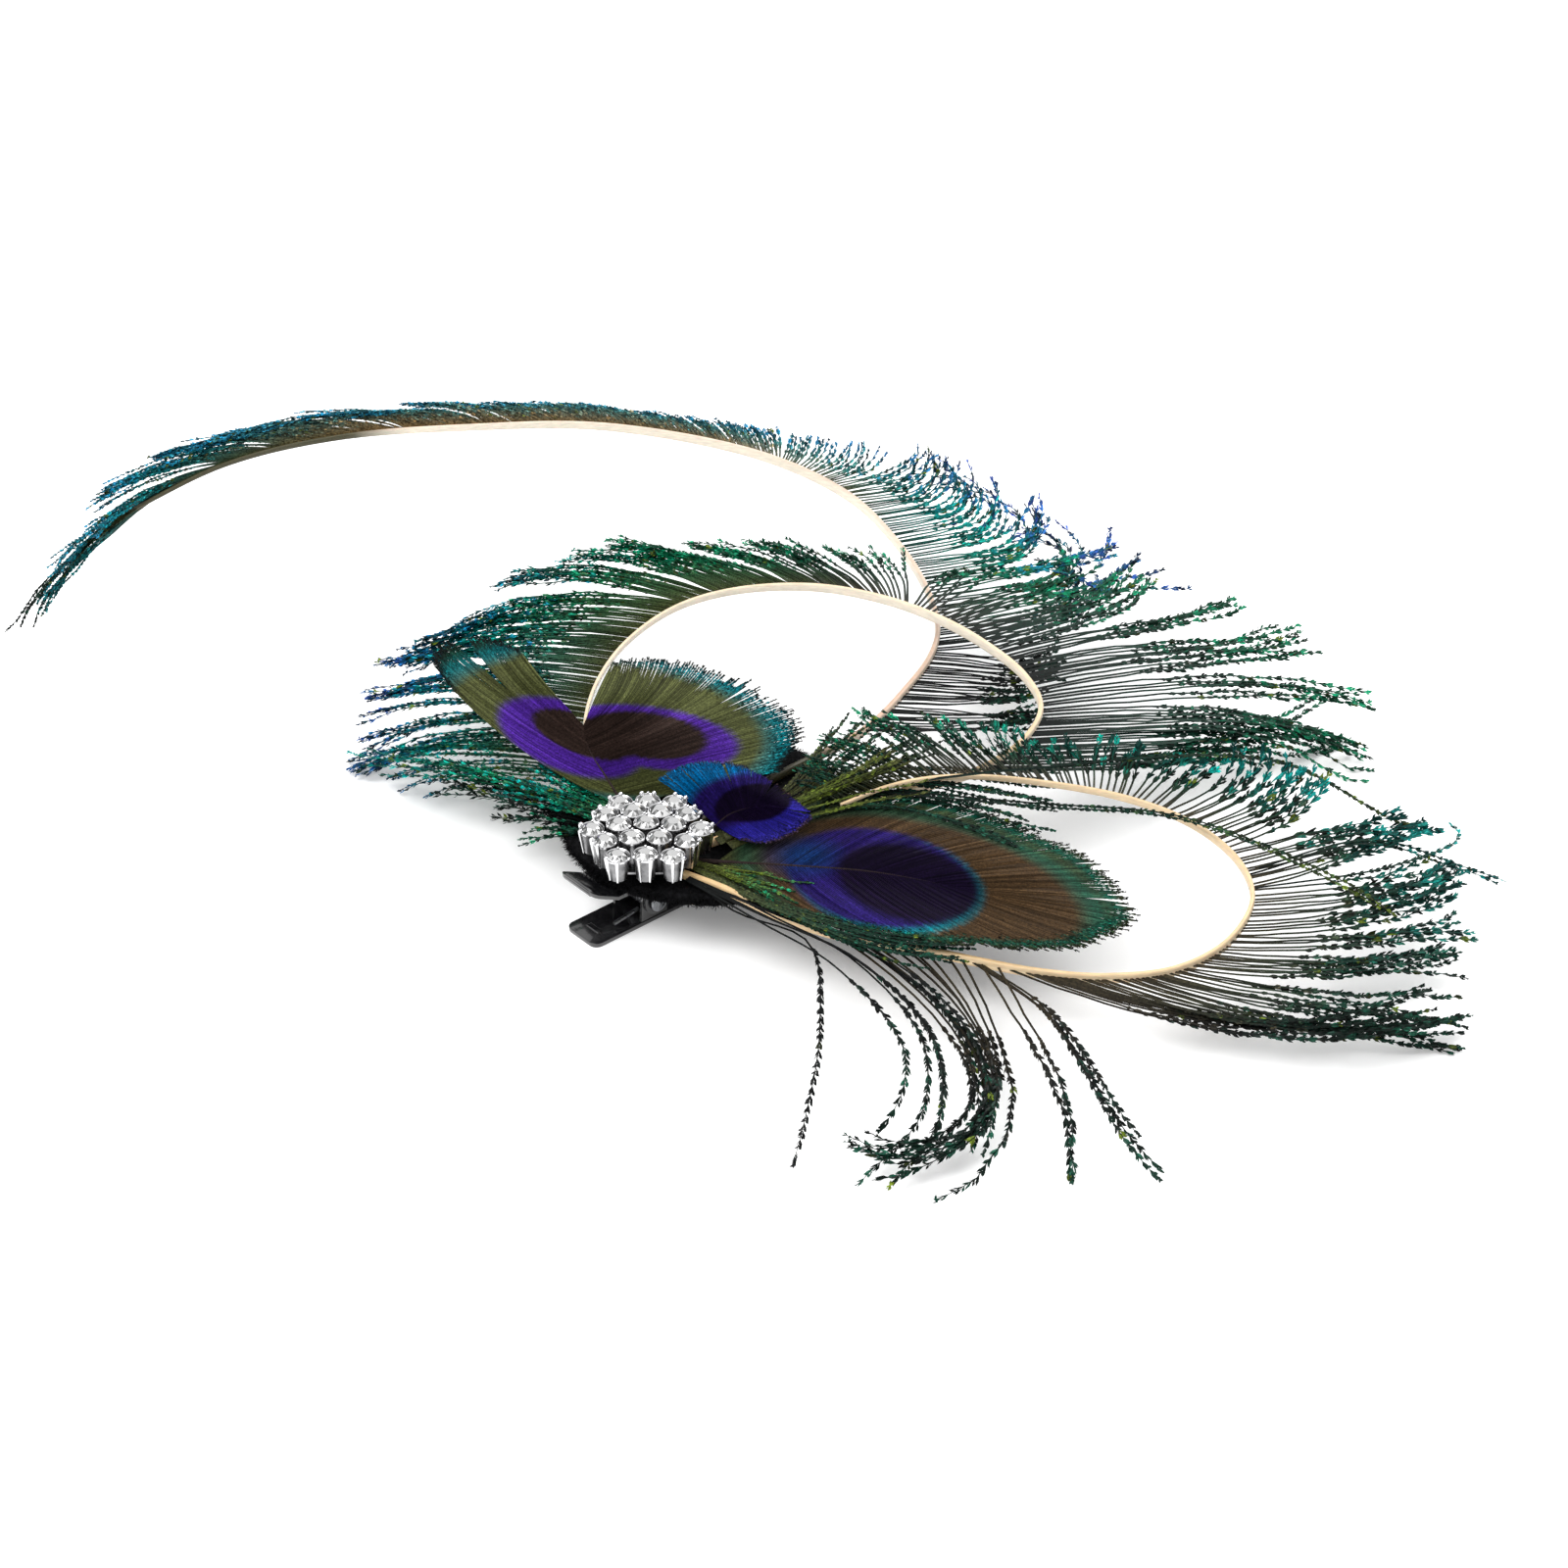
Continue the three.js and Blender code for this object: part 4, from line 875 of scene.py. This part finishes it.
def paint_eye(plan, share, zones, fringe):
    """Colours of barb points. The first zone is the ground, the others ellipses in plan, outermost first."""
    tint = np.tile(np.array(zones[0], float), (len(share), 1))
    layers = []
    for colour, x, y, long, short, turn, soft in zones[1:]:
        way = np.array([math.cos(math.radians(turn)), math.sin(math.radians(turn))])
        offset = plan - np.array([x, y])
        radius = np.hypot(offset @ way / long, (offset[:, 1] * way[0] - offset[:, 0] * way[1]) / short)
        layers.append((colour, (1 + soft - radius) / (2 * soft)))
    layers += [(colour, (share - start) / FRINGE.fade) for colour, start in fringe]
    for colour, cover in layers:
        weight = np.clip(cover, 0, 1)[:, None]
        tint = tint * (1 - weight) + np.array(colour) * weight
    return tint


def half_vane(rows, first, column, hand, sweep, look, random):
    """Sheet and fringe of one half, whose edge is in the rows from a column on, to one hand of the shaft."""
    zones, fringe, painted_line_depth = look["zones"], look["fringe"], look["painted_line_depth"]
    count = EYE.barbs
    start = first / (len(rows) - 1)
    station = np.linspace(0, 1, count)
    root = smooth_line(rows, start + (1 - start) * station)
    _, side, _ = frame_along(root)
    tip = smooth_line(rows[first:], station, column)
    chord = tip - root
    open_by = hand * sweep.open * (1 - station ** sweep.fade)
    leave = unit(unit(chord) + open_by[:, None] * side)
    middle = root + leave * sizes(chord) * sweep.hold
    reach = 1 - np.abs(random.normal(0, look["ragged"], count))[:, None, None]
    u = np.linspace(0, 1, EYE.points)[None, :, None] * reach
    paths = arched(root, middle, tip, u)
    parted = np.cumsum(random.uniform(size=count) < EYE.partings)
    shift = random.normal(0, EYE.parted, count)[parted] + random.normal(0, EYE.stir, count)
    spacing = np.gradient(paths, axis=0)
    paths = paths + unit(spacing) * shift[:, None, None] * u**3
    across = unit(np.gradient(tip, axis=0))
    if "fork" in look and hand < 0:
        aside = np.where(station < look["fork"], -FORK.gap, FORK.gap)[:, None] * across
        paths = paths + aside[:, None] * np.clip((u - FORK.start) / (1 - FORK.start), 0, 1) ** 1.3
    paths = paths + UPWARD * random.normal(0, EYE.lift, (count, 1, 1)) * u
    narrow = np.interp(u[..., 0], (0, *look["split"], 1), (1.0, 0.97, 0.55, 0.2))[..., None]
    wing = spacing * EYE.overlap * narrow
    least = EYE.narrowest * np.clip(1.2 - u, 0.3, 1)
    wide = np.clip(sizes(wing), least, EYE.widest)
    along = unit(np.gradient(paths, axis=1))
    wing = unit(wing - along * (wing * along).sum(-1, keepdims=True)) * wide
    normal = unit(np.cross(along, wing))
    upright = np.where(normal[..., 2:] < 0, -1.0, 1.0)
    wing = wing * upright
    ridge = normal * upright * EYE.ridge * np.clip(1.15 - u, 0.2, 1)
    rings = np.stack([paths + wing - ridge * 0.4, paths + ridge, paths - wing - ridge * 0.4], axis=2)
    points, triangles = sleeves(rings)
    tint = paint_eye(points[:, :2], np.repeat(u[..., 0], 3, axis=1).ravel(), zones, fringe)
    # Each barb's two edges are darkened and its ridge lightened: painted shade between neighbouring barbs and
    # a painted highlight along each ridge.
    painted_line_shading = np.tile(np.array([1 - painted_line_depth, 1 + 0.7 * painted_line_depth, 1 - painted_line_depth]), count * EYE.points)
    barb_light = np.repeat(np.exp(random.normal(0, EYE.unlike, count)), EYE.points * 3)
    tint = tint * (painted_line_shading * barb_light * np.exp(random.normal(0, EYE.speckle, len(tint))))[:, None]

    bare, bead = np.full(count, FRINGE.start), np.full(count, FRINGE.reach)
    bead_root, bead_tip, way, _, share, _ = beads_on(paths, bare, bead, across, random)
    bead_points, bead_faces = slivers(bead_root, bead_tip, way, FRINGE.wide, FRINGE.thick)
    bead_tint = paint_eye(bead_root[:, :2], share, zones, fringe) * random.gamma(1.5, 0.6, (len(share), 1))
    return [(points, triangles, tint), (bead_points, bead_faces, np.repeat(bead_tint, 4, axis=0))]


def eye_feather(name, rows, look, node, seed, right_sweep=SWEEP):
    """Both half vanes and the shaft. A look holds colour zones and fringe, the depth of the painted shade
    between barbs and painted highlight on their ridges, how ragged the rim is, the shares of a barb where it
    starts to part and has parted from the next, and if the left half forks, the station where it does."""
    random = np.random.default_rng(seed)
    first = next(index for index, row in enumerate(rows) if len(row) > 3)
    meshes = half_vane(rows, first, 3, -1, SWEEP, look, random)
    meshes += half_vane(rows, first, 6, 1, right_sweep, look, random)
    share = np.linspace(0, 1, SHAFT.steps)
    shaft = smooth_line(rows, share)[None]
    shaft_radius = np.interp(share, (0, 0.3, 1), SHAFT.radii)[None]
    shaft_points, shaft_faces = sleeves(thread_rings(shaft, shaft_radius, SHAFT.sides))
    meshes.append((shaft_points, shaft_faces, np.tile(np.array(SHAFT.brown), (len(shaft_points), 1))))
    points, triangles, tint = stacked(meshes)
    array_piece(name, points, triangles, eye_barbs, node, np.clip(tint, 0, 1))


eye_feather(
    "left_eye", LEFT_EYE,
    {
        "zones": [
            DARK_GREEN,
            (BRIGHT_TEAL, -4, 34, 36, 21, -8, 0.1),
            (MOSS, -7, 32.5, 30.5, 18, -15, 0.07),
            (VIOLET, -13.4, 28.9, 14.6, 8, -34, 0.06),
            (VIOLET, 1, 29.4, 16.5, 8, -14, 0.05),
            (LENS_BROWN, -11.5, 29.5, 10.2, 4.6, -34, 0.06),
            (LENS_BROWN, 0.5, 29.8, 11.5, 6.2, -12, 0.06),
        ],
        "fringe": [(INK, 0.91)],
        "painted_line_depth": 0.62,
        "ragged": 0.035,
        "split": (0.74, 0.9),
        "fork": 0.6,
    },
    "left_eye_feather", 31, FAN_SWEEP,
)
eye_feather(
    "middle_eye", MIDDLE_EYE,
    {
        "zones": [
            SKY,
            (BRIGHT_BLUE, 21, 3.6, 12, 8.5, -20, 0.1),
            (INDIGO, 17.5, 7.5, 9, 5, -16, 0.12),
            (LENS, 20, 6.2, 7, 3.8, -16, 0.06),
        ],
        "fringe": [(BRONZE, 0.95)],
        "painted_line_depth": 0.7,
        "ragged": 0.02,
        "split": (0.8, 0.95),
    },
    "middle_eye_feather", 32,
)
eye_feather(
    "right_eye", RIGHT_EYE,
    {
        "zones": [
            UMBER_GREEN,
            (RIM_GREEN, 50, -13, 33, 18.5, -24, 0.1),
            (BRONZE, 49, -12.8, 30.5, 17.4, -24.5, 0.08),
            (BRIGHT_TEAL, 43.2, -11.5, 17.6, 12.3, -27, 0.04),
            (INDIGO, 42.2, -10.5, 17.4, 12.3, -26.5, 0.05),
            (NIGHT_BLUE, 29, -5, 5.5, 4.5, -20, 0.6),
            (LENS, 47, -12.3, 13.6, 9.6, -30, 0.1),
        ],
        "fringe": [(RIM_GREEN, 0.84), (UMBER_GREEN, 0.9), (INK, 0.94)],
        "painted_line_depth": 0.75,
        "ragged": 0.06,
        "split": (0.74, 0.9),
    },
    "right_eye_feather", 33,
)


# Brooch: a cast silver cluster of conical collets on one plate, stitched on the felt over the feathers.
# Small balls hold every stone, and ball-ended claws stand outside the outer ones. The stones are crystal.
BROOCH = Sizes(
    x=1.5, y=-2.0, foot=14.0, pitch=4.75, dome=1.5, rows=(3, 4, 5, 4, 3), plate=0.4, plate_pitches=1.7,
    outer_from=0.75,
)
COLLET = Sizes(
    height=4.9, foot=1.6, rim=2.28, wall=0.2, seat=2.6, seat_radius=0.5, sides=24, bright_rim=0.35,
)
CLAW = Sizes(foot=1.65, rim=2.25, thick=0.46, thin=0.2, ball=0.42, start=0.3, over=0.1, spread=0.5)
PRONG = Sizes(count=3, radius=0.26)
FACET_LIGHTS = (0.14, 0.36, 0.75)
TABLE_LIGHT = 0.7
STONE = Sizes(
    radius=1.95, table=1.05, crown=0.7, kite_radius=1.5, kite_height=0.4, girdle=0.2, lower_radius=0.95,
    lower_depth=0.78, pavilion=1.5, sink=0.2,
)


def stone_places():
    """Foot of each stone's collet, the collet's height, and for outer ones the angle that faces outward."""
    rows = BROOCH.rows
    middle_row = (len(rows) - 1) / 2
    for row, count in enumerate(rows):
        for index in range(count):
            x = (index - (count - 1) / 2) * BROOCH.pitch
            y = (middle_row - row) * BROOCH.pitch * math.sqrt(3) / 2
            share = min(1, math.hypot(x, y) / (middle_row * BROOCH.pitch))
            outward = math.atan2(y, x) if share > BROOCH.outer_from else None
            place = Vector((x + BROOCH.x, y + BROOCH.y, BROOCH.foot))
            yield place, COLLET.height + BROOCH.dome * (1 - share**2), outward


def collet(shape, place, top):
    foot, rim, wall = COLLET.foot, COLLET.rim, COLLET.wall
    seat = top - COLLET.seat
    profile = [
        (0, 0), (foot - 0.4, 0), (foot, 0.35), (foot + 0.12, 1.3), (rim - 0.1, top - 0.5), (rim, top - 0.15),
        (rim - wall / 2, top), (rim - wall, top - 0.1), (COLLET.seat_radius, seat), (0, seat),
    ]
    verts = [shape.verts.new((place + Vector((radius, 0, height))) * MM) for radius, height in profile]
    edges = [shape.edges.new(pair) for pair in zip(verts, verts[1:])]
    older = set(shape.faces)
    bmesh.ops.spin(
        shape, geom=verts + edges, cent=place * MM, axis=(0, 0, 1), angle=2 * math.pi, steps=COLLET.sides,
        use_merge=True, use_duplicate=False,
    )
    # Below a bright rim the collet's wall and seat take the darker silver: painted shade in its recesses.
    for face in set(shape.faces) - older:
        below_rim = face.calc_center_median().z < (place.z + top - COLLET.bright_rim) * MM
        face.material_index = 1 if below_rim else 0


def ball(shape, middle, radius):
    place = Matrix.Translation(middle * MM)
    bmesh.ops.create_icosphere(shape, subdivisions=2, radius=radius * MM, matrix=place)


def spoke(angle):
    return Vector((math.cos(angle), math.sin(angle), 0))


def claw(shape, place, top, angle):
    foot = place + spoke(angle) * CLAW.foot + Vector((0, 0, CLAW.start))
    head = place + spoke(angle) * CLAW.rim + Vector((0, 0, top + CLAW.over))
    lean = (head - foot).to_track_quat("Z", "Y").to_matrix().to_4x4()
    stem = Matrix.Translation((foot + head) / 2 * MM) @ lean
    cone(shape, stem, (head - foot).length, CLAW.thin, CLAW.thick, 8)
    ball(shape, head, CLAW.ball)


silver = mottled_material(
    "polished_silver", {"Metallic": 1.0}, (500,), (0.7, 0.7, 0.71), (0.9, 0.9, 0.91), (0.1, 0.24)
)
# A darker silver for the recesses and the plate: painted shade, where the stones, the felt and the collets
# shade the metal.
painted_shade_silver = mottled_material(
    "shaded_silver", {"Metallic": 1.0}, (500,), (0.16, 0.16, 0.165), (0.34, 0.34, 0.345), (0.2, 0.4)
)
crystal = tinted_material(
    "clear_crystal", {"Metallic": 0.8, "Transmission Weight": 0.4, "IOR": 1.62, "Coat Weight": 0.4},
    (300, 3), 0.96, 1.04, (0.03, 0.08),
)

setting_shape = bmesh.new()
for place, top, _ in stone_places():
    collet(setting_shape, place, top)
bmesh.ops.remove_doubles(setting_shape, verts=setting_shape.verts, dist=1e-6)
bmesh.ops.recalc_face_normals(setting_shape, faces=setting_shape.faces)
for place, top, outward in stone_places():
    for index in range(PRONG.count):
        angle = math.radians(90) + index * 2 * math.pi / PRONG.count
        head = place + spoke(angle) * CLAW.rim
        head.z += top
        ball(setting_shape, head, PRONG.radius)
    if outward is not None:
        claw(setting_shape, place, top, outward - CLAW.spread)
        claw(setting_shape, place, top, outward + CLAW.spread)
plate_middle = Vector((BROOCH.x, BROOCH.y, BROOCH.foot + BROOCH.plate / 2))
plate_place = Matrix.Translation(plate_middle * MM) @ Matrix.Rotation(math.radians(30), 4, "Z")
plate_corner = BROOCH.plate_pitches * BROOCH.pitch
plate = cone(setting_shape, plate_place, BROOCH.plate, plate_corner, plate_corner, 6)
# The plate under the collets takes the darker silver too: painted shade.
for face in {face for vert in plate for face in vert.link_faces}:
    face.material_index = 1
setting = piece_from(setting_shape, "setting", silver, "headpiece", "brooch_setting")
setting.data.materials.append(painted_shade_silver)

for number, (place, top, _) in enumerate(stone_places(), 1):
    middle = place + Vector((0, 0, top - STONE.sink))
    levels = [
        (8, STONE.table, STONE.crown, 0),
        (8, STONE.kite_radius, STONE.kite_height, 22.5),
        (16, STONE.radius, 0, 11.25),
        (16, STONE.radius, -STONE.girdle, 11.25),
        (8, STONE.lower_radius, -STONE.girdle - STONE.lower_depth, 22.5),
        (1, 0, -STONE.girdle - STONE.pavilion, 0),
    ]
    cut = bmesh.new()
    for corners, radius, height, turn in levels:
        for corner in range(corners):
            angle = math.radians(turn) + 2 * math.pi * corner / corners
            corner_at = Vector((radius * math.cos(angle), radius * math.sin(angle), height))
            cut.verts.new((middle + corner_at) * MM)
    bmesh.ops.convex_hull(cut, input=cut.verts)
    bmesh.ops.dissolve_limit(cut, angle_limit=math.radians(1), verts=cut.verts, edges=cut.edges)
    # Each facet gets a grey, the table a fixed one: painted reflections, light and dark facets in place of
    # what the cut stone mirrors.
    facet_tint = cut.loops.layers.float_color.new("tint")
    for face in cut.faces:
        light = TABLE_LIGHT if face.normal.z > 0.95 else float(rng.choice(FACET_LIGHTS))
        for loop in face.loops:
            loop[facet_tint] = (light, light, light, 1)
    node = f"stone_{number:02d}"
    piece_from(cut, "cut_" + node, crystal, "headpiece", node, smooth_below=1)


# Studio: a white paper floor under a white sky and two soft lamps, seen from the front and above.
# The floor and the lamps are in metres, as they belong to no piece.
CAMERA = Sizes(height=34, target=(25.5, 25.0, 10.0), distance=787.0, lens=100, sensor=36)
FLOOR_REACH = 50
LAMPS = (("key_light", (-0.5, -0.35, 0.9), 0.7, 9), ("back_light", (0.45, 0.7, 0.7), 0.6, 6))
LAMPS_AIM = Vector((0.02, 0.02, 0))

# The paper also glows faintly: painted light that lifts the shadows on the floor.
paper = mottled_material(
    "white_paper", {"Roughness": 0.9, "Emission Color": (1, 1, 1, 1), "Emission Strength": 0.15}, (40,),
    (0.93, 0.93, 0.93), (0.95, 0.95, 0.95),
)
floor_shape = bmesh.new()
bmesh.ops.create_grid(floor_shape, x_segments=1, y_segments=1, size=FLOOR_REACH)
floor_mesh = bpy.data.meshes.new("floor")
floor_shape.to_mesh(floor_mesh)
floor_shape.free()
floor_mesh.materials.append(paper)
floor = bpy.data.objects.new("floor", floor_mesh)
bpy.context.scene.collection.objects.link(floor)

world = bpy.data.worlds.new("studio")
world.use_nodes = True
sky = world.node_tree
sky_split = add_node(sky, "SeparateXYZ")
sky_height = add_node(sky, "MapRange", From_Min=0.05, From_Max=0.75, To_Min=0.12, To_Max=1.2)
link(add_node(sky, "TexCoord"), "Generated", sky_split, "Vector")
link(sky_split, "Z", sky_height, "Value")
link(sky_height, "Result", sky.nodes["Background"], "Strength")
sky.nodes["Background"].inputs["Color"].default_value = (1, 1, 1, 1)
bpy.context.scene.world = world

for name, place, size, power in LAMPS:
    light = bpy.data.lights.new(name, "AREA")
    light.size = size
    light.energy = power
    lamp = bpy.data.objects.new(name, light)
    lamp.location = place
    lamp.rotation_euler = (LAMPS_AIM - Vector(place)).to_track_quat("-Z", "Y").to_euler()
    bpy.context.scene.collection.objects.link(lamp)

camera_data = bpy.data.cameras.new("camera")
camera_data.lens = CAMERA.lens
camera_data.sensor_width = CAMERA.sensor
camera = bpy.data.objects.new("camera", camera_data)
height = math.radians(CAMERA.height)
back = Vector((0, -math.cos(height), math.sin(height))) * CAMERA.distance
camera.location = (Vector(CAMERA.target) + back) * MM
camera.rotation_euler = (math.pi / 2 - height, 0, 0)
bpy.context.scene.collection.objects.link(camera)
bpy.context.scene.camera = camera
bpy.context.scene.view_settings.view_transform = "Standard"
